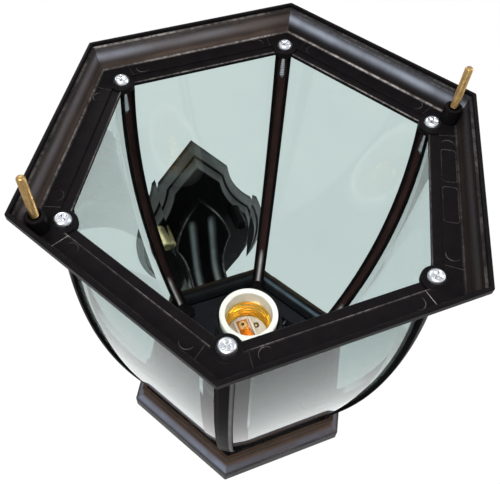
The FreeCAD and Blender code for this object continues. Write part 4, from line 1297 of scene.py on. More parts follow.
        # Painted highlight along the frames, growing stronger towards one end.
        least, gain, fade = self.frame_highlight
        faint = least + gain * ramp(frame[:, 1], high - fade, high)
        first = self.bead(frame, self.frame_bead_width, faint)
        lines = [first.moved(0.0, -shift, 0.0).turned(Flat.FRONT_RIGHT.value)
                 for shift in (0.0, self.frame_shift)]
        # Seams beside the lugs on the front and front left flats carry a stronger painted highlight than the
        # others.
        bright = ((Flat.FRONT, 1.0), (Flat.FRONT_LEFT, -1.0))
        bright_seam, dim_seam = self.seam_highlight
        near, far = self.seam_places
        inner, outer = self.step + self.seam_inset, s.flange_out - self.seam_inset
        for flat in Flat:
            for side in (-1.0, 1.0):
                seam = np.linspace((inner, side * near), (outer, side * far), self.seam_points)
                highlighted = np.full(len(seam), bright_seam if (flat, side) in bright else dim_seam)
                lines.append(self.bead(seam, self.bead_width, highlighted).turned(flat.value))
        return lines

    def casting(self) -> Skin:
        """Ring with its screw lugs, stud bosses, mould lines and the marks of ejector pins."""
        s = SIZES
        profile = self.section()
        ring = hexagon_sweep(profile, self.mitre_radius, self.marks(profile))
        low, high = s.flange_under + self.lug_gap, s.flange_top + self.lug_rise
        lug = plug(self.lug_radius, low, high, Round.BOSS, self.lug_edge)
        low = s.flange_top - self.overlap
        boss = plug(self.boss_radius, low, self.crown, Round.BOSS, self.boss_edge, self.boss_taper)
        angle = np.linspace(0.0, TURN, Round.TAB + 1)
        circle = self.pin_mark_radius * np.stack([np.cos(angle), np.sin(angle)], axis=1)
        middle = (self.step + s.flange_out) / 2.0
        places = [(flat.value, side) for flat in Flat for side in (-self.pin_mark_place, self.pin_mark_place)]
        marks = []
        # The painted highlight covers part of each circle; bearing and side only make that part differ from
        # mark to mark
        for bearing, side in places:
            highlighted = self.pin_mark_highlight * ramp(np.cos(angle - 2.0 * bearing - side), *self.pin_mark_fade)
            marks.append(self.bead(circle, self.bead_width, highlighted).moved(middle, side, 0.0).turned(bearing))
        lugs = round_about(lug.moved(s.screw_circle, 0.0, 0.0), list(Corner))
        bosses = round_about(boss.moved(s.stud_circle, 0.0, 0.0), [Corner.LEFT, Corner.RIGHT])
        return at_lantern(joined([ring, lugs, bosses, *marks, *self.mould_lines()]))

    def studs(self) -> Skin:
        """Two threaded rods with their roots in the bosses."""
        s = SIZES
        low, high = self.crown - self.overlap, s.rim_top + self.stud_rise
        rod = threaded_rod(self.stud_radius, *self.stud_thread, low, high)
        root = plug(self.stud_root, s.flange_under, self.crown, Round.ROD)
        stud = joined([rod, root]).moved(s.stud_circle, 0.0, 0.0)
        return at_lantern(round_about(stud, [Corner.LEFT, Corner.RIGHT]))

    def screws(self) -> Skin:
        """Six pan-head screws, each turned by its own amount."""
        s = SIZES
        screw = PanScrew(*self.screw_head, *self.screw_shank).skin()
        return at_lantern(joined([
            screw.turned(turn).moved(s.screw_circle, 0.0, s.flange_top).turned(corner.value)
            for corner, turn in zip(Corner, self.screw_turns)]))

    def build(self, palette: Palette) -> None:
        """Makes the ring, its studs and its screws."""
        make_piece("ring_casting", self.casting(), palette["ring"], ["top_ring"])
        make_piece("threaded_studs", self.studs(), palette["stud"], ["roof_studs"], sharp=60.0)
        make_piece("ring_screw_set", self.screws(), palette["zinc"], ["ring_screws"],
                   sharp=60.0)


@dataclass
class Cage:
    """Six curved ribs and the six bevelled panes between them.

    Bands of the dry-brush rubbing and painted light are the middle and width of a bell, in shares of half the
    rib's width: brown rubbing on the crown and in the flute that is partly a painted reflection, a painted
    reflection on one side of the crown and a painted highlight strip in the flute towards the lower end.
    """

    flute_width: float = 4.6
    flute_depth: float = 1.6
    rib_edge: float = 0.3
    rib_step: float = 0.5
    highlight_below: float = -8.0
    highlight_fade: float = 3.0
    crown_margin: float = 0.1
    crown_bronze_and_reflection: float = 0.8
    crown_band: Pair = (0.0, 0.45)
    crown_painted_sheen: float = 0.17
    painted_sheen_band: Pair = (0.72, 0.24)
    flute_margin: float = 0.3
    flute_fade: Pair = (0.62, 0.42)
    flute_bronze_and_reflection: float = 0.55
    strip_band: Pair = (0.0, 0.22)
    strip_painted_highlight: float = 0.95
    tab_radius: float = 4.5
    tab_height: float = 5.0
    tab_edge: float = 0.6
    neck_drop: float = 0.3
    neck_edge: float = 0.5
    pane_drop: float = 0.3
    bevel_width: float = 7.5
    bevel_depth: float = 1.0
    bevel_rows: tuple[float, ...] = (0.0, 0.25, 0.5, 0.75, 0.97, 1.0, 1.03)
    plain_margins: Pair = (1.1, 1.06)
    pane_rows: int = 60
    pane_columns: int = 15
    levels: int = 72

    def rib_profile(self) -> np.ndarray:
        """Section of a rib at the belly, as distance from the axis and sideways, corners softened."""
        s = SIZES
        lean, skin = math.tan(SIXTH), s.rib_flange / math.cos(SIXTH)
        half, web, flute = s.rib_width / 2.0, s.rib_web / 2.0, self.flute_width / 2.0
        right = [
            (s.rib_inner - skin - lean * flute, flute, -self.flute_depth),
            (s.rib_inner - skin - lean * half, half), (s.rib_inner - lean * half, half),
            (s.rib_inner - lean * web, web), (s.rib_outer - lean * web, web),
            (s.rib_outer - lean * half, half), (s.rib_outer + skin - lean * half, half),
        ]
        left = [(corner[0], -corner[1]) for corner in reversed(right)]
        left[0] = (left[0][0], left[0][1], s.rib_crown)
        return divided(softened(outline(right + left, steps=14), self.rib_edge), self.rib_step)

    def rib(self) -> Skin:
        """One rib on the +x corner: its section carried along the arc, with the tab that takes its screw."""
        s = SIZES
        place, across = self.rib_profile().T
        level = np.linspace(s.floor_top, s.flange_under, self.levels)[:, None]
        side = 2.0 * across / s.rib_width
        crown = place > s.rib_outer + self.crown_margin - math.tan(SIXTH) * np.abs(across)
        flute = (place < s.rib_inner - self.flute_margin) * ramp(np.abs(side), *self.flute_fade)
        # Painted highlight strip in the flute near the lower end, painted reflection on one side of the
        # crown, and brown rubbing on crown and flute that is partly a painted reflection.
        end = ramp(level, self.highlight_below + self.highlight_fade, self.highlight_below - self.highlight_fade)
        strip = end * bell(side, *self.strip_band) * flute
        bronze = self.crown_bronze_and_reflection * bell(side, *self.crown_band) * crown + self.flute_bronze_and_reflection * flute
        sheen = self.crown_painted_sheen * bell(side, *self.painted_sheen_band) * crown + self.strip_painted_highlight * strip
        marks = np.stack(np.broadcast_arrays(bronze, sheen, 0.0), axis=-1)
        grid = np.stack(np.broadcast_arrays(s.rib_reach(level, place[None, :]), across, level), axis=-1)
        bow = woven(grid, wrap_columns=True, cap_rows=True, marks=marks)
        top = s.floor_top + self.tab_height
        tab = plug(self.tab_radius, s.floor_top, top, Round.TAB, self.tab_edge).moved(s.tab_circle, 0.0, 0.0)
        root, half = float(s.rib_reach(np.array(s.floor_top), s.rib_middle)), s.rib_web / 2.0
        neck = bar((s.tab_circle, -half, s.floor_top), (root, half, top - self.neck_drop), self.neck_edge)
        return joined([bow, tab, neck])

    def pane(self) -> Skin:
        """One pane on the +x flat: two arcs, the outer one ground down towards its sides and lower edge."""
        s = SIZES
        near = np.array(self.bevel_rows) * self.bevel_width
        low, high, thick = s.floor_top, s.flange_under - self.pane_drop, s.pane_thickness / 2.0
        margin, side_margin = (share * self.bevel_width for share in self.plain_margins)
        middle = np.linspace(low + margin, high - margin, self.pane_rows)
        level = np.concatenate([low + near, middle, high - near[::-1]])[:, None]
        apex = s.pane_gap / math.sin(SIXTH)
        half = (s.pane_apothem(level, -thick) - apex) * math.tan(SIXTH)
        inside = np.linspace(-1.0, 1.0, self.pane_columns)[None, :] * (half - side_margin)
        across = np.concatenate([-half + near[None, :], inside, half - near[None, ::-1]], axis=1)
        edge = np.clip(np.minimum(half - np.abs(across), level - low) / self.bevel_width, 0.0, 1.0)
        offset = thick - self.bevel_depth * (1.0 - edge)
        height = np.broadcast_to(level, across.shape)
        return slab(*(np.stack([s.pane_apothem(height, face), across, height], axis=-1)
                      for face in (offset, -thick)))

    def build(self, palette: Palette) -> None:
        """Makes every rib and pane at its bearing."""
        rib, pane = self.rib(), self.pane()
        for corner in Corner:
            name = corner.name.lower()
            make_piece("rib_bar_" + name, at_lantern(rib.turned(corner.value)), palette["rib"],
                       ["rib_" + name])
        for flat in Flat:
            name = flat.name.lower()
            make_piece("bevelled_pane_" + name, at_lantern(pane.turned(flat.value)), palette["glass"],
                       ["pane_" + name], sharp=30.0)


@dataclass
class Foot:
    """Moulded hexagonal foot whose web is the lantern's floor.

    Places of the dry-brush rubbing and painted light are shares of the band, cove or recess that a point has
    climbed. The brown rubbing, partly a painted reflection, is weighted for the band, lower cove, upper cove
    and head; the lower cove gets a painted blue-grey reflection, the recess wall a painted reflection strip
    and a faint painted lightening, and the floor a faint painted lightening. The table for each flat gives
    rubbing, painted reflection and worn edge, flat by flat as the light falls.
    """

    rim: float = 2.6
    flare: float = 4.6
    head_band: float = 3.5
    groove_height: float = 1.8
    groove_depth: float = 1.2
    base_band: float = 9.0
    base_wall: float = 2.6
    base_ledge: float = 0.8
    cove_bow: float = 1.6
    axis_gap: float = 0.02
    edge_radius: float = 0.45
    mitre_radius: float = 0.9
    profile_step: float = 0.8
    weep_place: Pair = (34.6, 16.7)
    weep_radius: float = 2.5
    weep_depth: float = 3.0
    drain_radius: float = 0.8
    drain_shift: Pair = (-0.85, -1.36)
    drain_slack: float = 1.01
    drill_margin: float = 3.0
    band_places: Places = (0.1, 0.3, 0.85, 0.98)
    low_cove_places: Places = (-0.02, 0.05, 0.18, 0.42)
    high_cove_places: Places = (0.12, 0.4, 0.86, 0.98)
    strip_places: Places = (0.3, 0.4, 0.65, 0.75)
    head_fade: Pair = (0.05, 0.3)
    groove_fade: Pair = (1.04, 1.12)
    groove_end: Pair = (0.02, -0.05)
    groove_bronze: float = 0.8
    ledge_fade: Pair = (0.05, 0.02)
    bronze: tuple[float, ...] = (0.04, 0.3, 0.7, 0.5)
    cove_painted_sheen: float = 0.5
    ledge_edge: float = 0.1
    wall_bronze_and_reflection: float = 0.2
    wall_painted_sheen: float = 0.05
    floor_painted_light: float = 0.03
    margin: float = 0.1
    brushing_and_light: tuple[Triple, ...] = (
        (0.8, 0.6, 0.6), (0.8, 0.6, 0.6), (0.8, 0.6, 0.6),
        (0.75, 1.0, 0.6), (1.0, 0.45, 0.8), (0.8, 0.5, 0.6))
    recess_painted_reflection: tuple[float, ...] = (1.0, 0.15, 0.1, 0.0, 0.0, 0.3)

    def casting(self) -> Skin:
        """Foot as one profile carried round the hexagon, closed to the axis at the floor."""
        s = SIZES
        recess_top, recess_bottom = s.rib_flat(s.foot_top), s.rib_flat(s.floor_top)
        top, base = recess_top + self.rim, recess_top + self.rim + self.flare
        ledge, groove = s.foot_bottom + self.base_band, s.foot_top - self.head_band
        neck, throat = top - self.groove_depth, groove - self.groove_height
        profile = divided(softened(outline([
            (recess_top, s.foot_top), (recess_bottom, s.floor_top), (self.axis_gap, s.floor_top),
            (self.axis_gap, s.floor_under), (recess_bottom, s.floor_under),
            (base - self.base_wall, s.foot_bottom), (base, s.foot_bottom), (base, ledge),
            (base - self.base_ledge, ledge), (neck, throat, self.cove_bow), (neck, groove), (top, groove),
            (top, s.foot_top)]), self.edge_radius), self.profile_step)
        apothem, height = profile.T
        outside = apothem > recess_top + self.margin * self.rim
        climb = (height - s.foot_bottom) / self.base_band
        hollow = (height - ledge) / (throat - ledge)
        crest = (height - groove) / self.head_band
        drop = (s.foot_top - height) / (s.foot_top - s.floor_top)
        wall = (apothem > recess_bottom - 2.0 * self.margin) & (apothem < recess_top + self.margin)
        wall = wall & (drop > 0.0) & (drop < 1.0)
        floor = (np.abs(height - s.floor_top) < self.margin) & (apothem < recess_bottom - 3.0 * self.margin)
        band = plateau(climb, self.band_places) * outside
        low_cove = plateau(hollow, self.low_cove_places) * outside
        high_cove = plateau(hollow, self.high_cove_places) * outside
        slot = self.groove_bronze * ramp(hollow, *self.groove_fade) * ramp(crest, *self.groove_end)
        head = (ramp(crest, *self.head_fade) + slot) * outside
        bronze = np.array(self.bronze) @ np.stack([band, low_cove, high_cove, head])
        edge = self.ledge_edge * ramp(np.abs(climb - 1.0), *self.ledge_fade) * outside
        # Painted reflection: a pale strip across the recess wall, strongest on one flat, and a faint painted
        # lightening of the wall and floor, which lie in shade.
        strip = plateau(drop, self.strip_places) * wall
        flats = np.array(self.brushing_and_light)[:, None, None, :]
        painted_glint = np.array(self.recess_painted_reflection)[:, None, None] * strip
        painted_glint = painted_glint + self.wall_painted_sheen * wall + self.floor_painted_light * floor
        sheen = flats[..., 1] * (self.cove_painted_sheen * low_cove) + painted_glint
        bronze = flats[..., 0] * bronze + self.wall_bronze_and_reflection * wall
        marks = np.stack([bronze, sheen, flats[..., 2] * edge], axis=-1)
        return hexagon_sweep(profile, self.mitre_radius, np.repeat(marks, 2, axis=1))

    def weep_hole(self) -> Skin:
        """Sink in the floor and the narrow drain below it, which lies to one side."""
        low, high = SIZES.floor_under - self.drill_margin, SIZES.floor_top + self.drill_margin
        step, narrow, wide = SIZES.floor_top - self.weep_depth, self.drain_radius, self.weep_radius
        profile = [(0.0, low), (narrow, low), (narrow, step), (wide, step), (wide, high), (0.0, high)]
        hole = lathe(np.array(profile), Round.ROD, closed=False)
        radius, level = np.hypot(*hole.points[:, :2].T)[:, None], hole.points[:, 2:]
        drain = (level <= step) * (radius < self.drain_slack * narrow)
        hole = hole.with_points(hole.points + drain * np.array([*self.drain_shift, 0.0]))
        return hole.moved(*self.weep_place, 0.0)

    def build(self, palette: Palette) -> None:
        """Makes the foot and drills its weep hole."""
        skin = at_lantern(self.casting())
        piece = make_piece("foot_casting", skin, palette["foot"], ["foot"])
        drill(piece, at_lantern(self.weep_hole()))


@dataclass
class LampHolder:
    """Porcelain lamp holder in its black cup, with the brass shell and the contacts."""

    cup_inside: float = 18.4
    cup_wall: float = 1.5
    cup_drop: float = 4.0
    cup_hole: float = 5.2
    cup_edge: float = 0.6
    body_radius: float = 17.5
    body_edge: float = 1.1
    bore_radius: float = 14.0
    recess_radius: float = 13.0
    seat: float = -32.8
    recess_top: float = -15.1
    ridge_gap: float = 0.6
    ridge_width: float = 1.6
    ridge_half_length: float = 10.0
    ridge_height: float = 4.2
    ridge_edge: float = 0.4
    ridge_lift: float = 0.02
    shell_outer: float = 13.75
    shell_sheet: float = 0.42
    shell_ends: Pair = (1.2, 1.4)
    shell_lift: float = 0.3
    thread_depth: float = 1.0
    thread_pitch: float = 3.62
    shell_setback: float = 10.0
    shell_rows: int = 110
    contact_width: float = 7.0
    contact_sheet: float = 0.7
    contact_edge: float = 0.22
    tongue_root: float = 4.1
    tongue_lift: float = 0.1
    tongue_rise: float = 22.0
    tongue_length: float = 8.6
    nose_length: float = 2.2
    tongue_straight: float = 0.8
    nose_bend: float = 0.55
    tongue_rows: int = 16
    eyelet_hole: float = 1.6
    eyelet_place: float = 7.45
    drill_margin: float = 1.0

    def cup(self) -> Skin:
        """Plain cup with a rounded lip."""
        s = SIZES
        outside, top = self.cup_inside + self.cup_wall, s.holder_top - self.cup_drop
        floor = s.floor_top + self.cup_wall
        profile = np.array([
            (self.cup_hole, s.floor_top), (outside, s.floor_top), (outside, top), (self.cup_inside, top),
            (self.cup_inside, floor), (self.cup_hole, floor)])
        return at_lantern(lathe(softened(profile, self.cup_edge, steps=4), Round.BARREL))

    def body(self) -> tuple[Skin, Skin]:
        """Porcelain body with a rounded lip and a stepped bore, and the two ridges beside the contact."""
        s = SIZES
        top, floor, thick = s.holder_top, s.holder_floor, self.ridge_width
        profile = np.array([
            (0.0, floor), (0.0, self.recess_top), (self.recess_radius, self.recess_top),
            (self.recess_radius, self.seat), (self.body_radius, self.seat), (self.body_radius, top),
            (self.bore_radius, top), (self.bore_radius, floor)])
        barrel = lathe(softened(profile, self.body_edge, steps=6), Round.BARREL)
        gap = self.contact_width / 2.0 + self.ridge_gap
        ridges = [bar((x, -self.ridge_half_length, floor + self.ridge_lift),
                      (x + thick, self.ridge_half_length, floor + self.ridge_height), self.ridge_edge)
                  for x in (-gap - thick, gap)]
        return at_lantern(barrel), at_lantern(joined(ridges))

    def shell(self) -> Skin:
        """Rolled brass shell: both faces wave with z / pitch - angle / turn, fading out at both ends."""
        s = SIZES
        low, high = s.holder_floor + self.shell_lift, s.holder_top - self.shell_setback
        angle, level = around(Round.SHELL)[:, None], np.linspace(low, high, self.shell_rows)[None, :]
        fade_low, fade_high = self.shell_ends
        ends = np.clip((level - low) / fade_low, 0.0, 1.0) * np.clip((high - level) / fade_high, 0.0, 1.0)
        phase = TURN * level / self.thread_pitch - angle
        outer = self.shell_outer - self.thread_depth * (0.5 + 0.5 * np.cos(phase)) * ends
        radius = np.concatenate([outer, (outer - self.shell_sheet)[:, ::-1]], axis=1)
        height = np.concatenate([level, level[:, ::-1]], axis=1)
        return at_lantern(woven(polar(radius, angle, height), wrap_rows=True, wrap_columns=True))

    def contact_strip(self, path: np.ndarray) -> Skin:
        """Spring sheet along a path of y and z, with rounded side edges.

        The sheet's faces lie half its thickness either side of the path, square to it.

        Args:
            path: Rows of y and z along the middle of the sheet.

        Returns:
            The closed strip.
        """
        half, thick = self.contact_width / 2.0, self.contact_sheet / 2.0
        rim = softened(rectangle((-half, -thick), (half, thick)), self.contact_edge)
        x = np.broadcast_to(rim[:, 0], (len(path), len(rim)))
        yz = path[:, None, :] + square_to(path)[:, None, :] * rim[None, :, 1:2]
        return woven(np.concatenate([x[:, :, None], yz], axis=-1), wrap_columns=True, cap_rows=True)

    def tongue(self) -> Skin:
        """Sprung tongue: a straight rise from the bend, eased over into a short nose."""
        lift = SIZES.holder_floor + self.tongue_lift + self.contact_sheet / 2.0
        start, rise = np.array([self.tongue_root, lift]), math.radians(self.tongue_rise)
        crest = start + np.array([-self.tongue_length * math.cos(rise), self.tongue_length * math.sin(rise)])
        nose = crest + np.array([-self.nose_length * math.cos(rise), -self.nose_length * math.sin(rise)])
        share = np.linspace(0.0, 1.0, self.tongue_rows)[:, None]
        lead = start + (crest - start) * self.tongue_straight * share
        first, last = lead[-1], crest + (nose - crest) * self.nose_bend
        curve = (1 - share) ** 2 * first + 2 * share * (1 - share) * crest + share ** 2 * last
        return at_lantern(self.contact_strip(np.vstack([lead, curve[1:], nose[None, :]])))

    def build(self, palette: Palette) -> None:
        """Makes the cup, body, shell and tongue; rivets and base stay as packed."""
        make_piece("holder_black_cup", self.cup(), palette["cup"], ["holder_cup"])
        barrel, ridges = self.body()
        body = make_piece("holder_porcelain", barrel, palette["porcelain"], ["holder_body"])
        low, high = self.recess_top - self.drill_margin, SIZES.holder_floor + self.drill_margin
        bore = plug(self.eyelet_hole, low, high, Round.BORE)
        drill(body, at_lantern(bore.moved(0.0, self.eyelet_place, 0.0)))
        make_piece("holder_ridges", ridges, palette["porcelain"], ["holder_body"])
        make_piece("holder_thread_shell", self.shell(), palette["brass"], ["screw_shell"])
        make_piece("contact_spring", self.tongue(), palette["copper"], ["contact_tongue"],
                   Body.CONTACT)


@dataclass
class Arm:
    """Fluted arm with a leaf-shaped root, its hub and the cap below."""

    leaf_height: float = 78.0
    leaf_half_width: float = 21.0
    leaf_widest: float = 37.0
    leaf_waist: float = 4.0
    leaf_bow: float = 4.0
    waist_bow: float = 2.0
    leaf_edge: float = 4.0
    leaf_spring: float = 12.0
    half_width: float = 14.0
    heel_drop: float = 10.0
    tail: float = 40.0
    heel_bow: float = 4.0
    elbow_radius: float = 22.0
    edge_round: float = 1.6
    flute_radius: float = 2.8
    flute_spacing: float = 7.0
    flute_start: Pair = (16.0, 10.0)
    flute_end: Pair = (4.0, 8.0)
    flute_side: float = 2.0
    deepest: float = 0.9
    flute_band: float = 0.6
    edge_band: Pair = (1.28, 0.5)
    edge_start: Pair = (4.0, 12.0)
    brushing_and_light: Triple = (0.3, 0.95, 0.6)
    hub_radius: float = 24.0
    hub_edge: float = 0.8
    cap_radius: float = 19.0
    cap_neck: float = 15.9
    cap_boss: float = 2.0
    cap_depth: float = 9.0
    cap_flange: float = 2.0
    cap_rise: float = 5.0
    cap_bow: float = 1.2
    cap_edge: float = 0.5
    leaf_rows: int = 60
    bend_rows: int = 28
    belly_rows: int = 20
    rim_columns: tuple[float, int] = (0.9, 9)
    face_columns: tuple[float, int] = (0.885, 100)

    def width(self, level: np.ndarray) -> np.ndarray:
        """Half width of the leaf and arm at a level, from the leaf's outline."""
        top, end = SIZES.arm_top, SIZES.arm_bottom - self.tail
        rim = outline([(0.0, top + self.leaf_height),
                       (self.leaf_half_width, top + self.leaf_widest, self.leaf_bow),
                       (self.half_width, top + self.leaf_waist, -self.waist_bow),
                       (self.half_width, end)], steps=24)
        order = np.argsort(rim[:, 1], kind="stable")
        return np.interp(level, rim[order, 1], rim[order, 0])

    def faces(self) -> tuple[np.ndarray, np.ndarray]:
        """Front and back lines of the arm in y and z, point by point alike.

        Returns:
            Line down the leaf, round the elbow and out to the hub; line down the plate and along the belly.
        """
        s = SIZES
        wall, heel = -s.plate_depth, s.arm_bottom - self.heel_drop
        head = np.array([wall - self.leaf_edge, s.arm_top + self.leaf_height])
        elbow = np.array([wall - self.leaf_edge - self.leaf_spring, s.arm_top])
        end = np.array([-s.reach, s.arm_top])
        back, ahead = head - elbow, end - elbow
        back, ahead = back / np.linalg.norm(back), ahead / np.linalg.norm(ahead)
        half = math.acos(float(np.dot(back, ahead))) / 2.0
        reach = self.elbow_radius / math.tan(half)
        centre = elbow + (back + ahead) / np.linalg.norm(back + ahead) * self.elbow_radius / math.sin(half)
        first, last = elbow + back * reach, elbow + ahead * reach
        share = np.linspace(0.0, 1.0, self.bend_rows)[:, None]
        angles = [math.atan2(*(point - centre)[::-1]) for point in (first, last)]
        sweep = (angles[1] - angles[0] + math.pi) % TURN - math.pi
        bend = angles[0] + sweep * share[:, 0]
        curve = centre + self.elbow_radius * np.stack([np.cos(bend), np.sin(bend)], axis=1)
        down = head + (first - head) * np.linspace(0.0, 1.0, self.leaf_rows)[:, None]
        out = last + (end - last) * share
        throat = np.array([-s.reach + self.hub_radius, s.arm_bottom])
        behind = np.stack([np.full(self.leaf_rows, wall), down[:, 1]], axis=1)
        below = np.linspace((wall, down[-1, 1]), (wall, heel), self.bend_rows)
        belly = outline([(wall, heel), (*throat, self.heel_bow)], self.belly_rows)[-self.belly_rows:]
        hub = np.linspace(throat, [-s.reach, s.arm_bottom], self.bend_rows - self.belly_rows)
        return np.vstack([down, curve[1:], out[1:]]), np.vstack([behind, below[1:], belly, hub[1:]])

    def casting(self) -> Skin:
        """Arm as two fluted and rounded faces, with its hub."""
        s = SIZES
        front, back = self.faces()
        toward, inward = back - front, square_to(front)
        inward *= np.sign(np.sum(inward * toward, axis=1, keepdims=True))
        (start, few), (stop, many) = self.rim_columns, self.face_columns
        rim, face = np.linspace(start, 1.0, few), np.linspace(-stop, stop, many)
        share = np.concatenate([-rim[::-1], face, rim])
        half_front, half_back = self.width(front[:, 1])[:, None], self.width(back[:, 1])[:, None]
        across = share[None, :] * half_front
        near = np.clip((np.abs(across) - (half_front - self.edge_round)) / self.edge_round, 0.0, 1.0)
        lowered = self.edge_round * (1.0 - np.sqrt(1.0 - near ** 2))
        nearest = np.where(across < 0.0, -1.0, 1.0) * self.flute_spacing
        groove = np.sqrt(np.clip(self.flute_radius ** 2 - (across - nearest) ** 2, 0.0, None))
        along = lengths(front)[:, None]
        rest = along[-1] - along - self.hub_radius
        fade = np.clip((along - self.flute_start[0]) / self.flute_start[1], 0.0, 1.0)
        fade = fade * np.clip((rest - self.flute_end[0]) / self.flute_end[1], 0.0, 1.0)
        land = half_front - np.abs(nearest) - self.flute_radius
        fade = fade * np.clip(land / self.flute_side, 0.0, 1.0)
        room = self.deepest * np.linalg.norm(toward, axis=1, keepdims=True)
        depth = np.minimum(lowered + groove * fade, room)
        face = front[:, None, :] + inward[:, None, :] * depth[:, :, None]
        rear = np.broadcast_to(back[:, None, :], face.shape)
        # Painted reflection in each flute, with brown rubbing, and a painted highlight line along the edge of
        # the leaf.
        hollow = bell(across, nearest, self.flute_band * self.flute_radius) * fade
        line = bell(half_front - np.abs(across), *self.edge_band) * ramp(along, *self.edge_start)
        marks = np.stack([hollow, hollow, line], axis=-1) * np.array(self.brushing_and_light)
        shell = slab(np.concatenate([across[:, :, None], face], axis=-1),
                     np.concatenate([(share[None, :] * half_back)[:, :, None], rear], axis=-1), marks)
        hub = plug(self.hub_radius, s.arm_bottom, s.floor_under, Round.BARREL, self.hub_edge)
        return joined([shell, at_lantern(hub)])

    def cap(self) -> Skin:
        """Round cap under the hub, with a stepped flange and a domed boss."""
        low = SIZES.arm_bottom
        top, tip = low + self.cap_rise, low - self.cap_depth
        profile = outline([(0.0, top), (0.0, tip), (self.cap_boss, tip),
                           (self.cap_radius, low - self.cap_flange, -self.cap_bow), (self.cap_radius, low),
                           (self.cap_neck, low), (self.cap_neck, top)])
        return at_lantern(lathe(softened(profile, self.cap_edge), Round.BARREL))

    def build(self, palette: Palette) -> None:
        """Makes the arm and its cap."""
        make_piece("arm_casting", self.casting(), palette["plate"], ["arm"], sharp=50.0)
        make_piece("hub_lid", self.cap(), palette["plate"], ["hub_cap"])


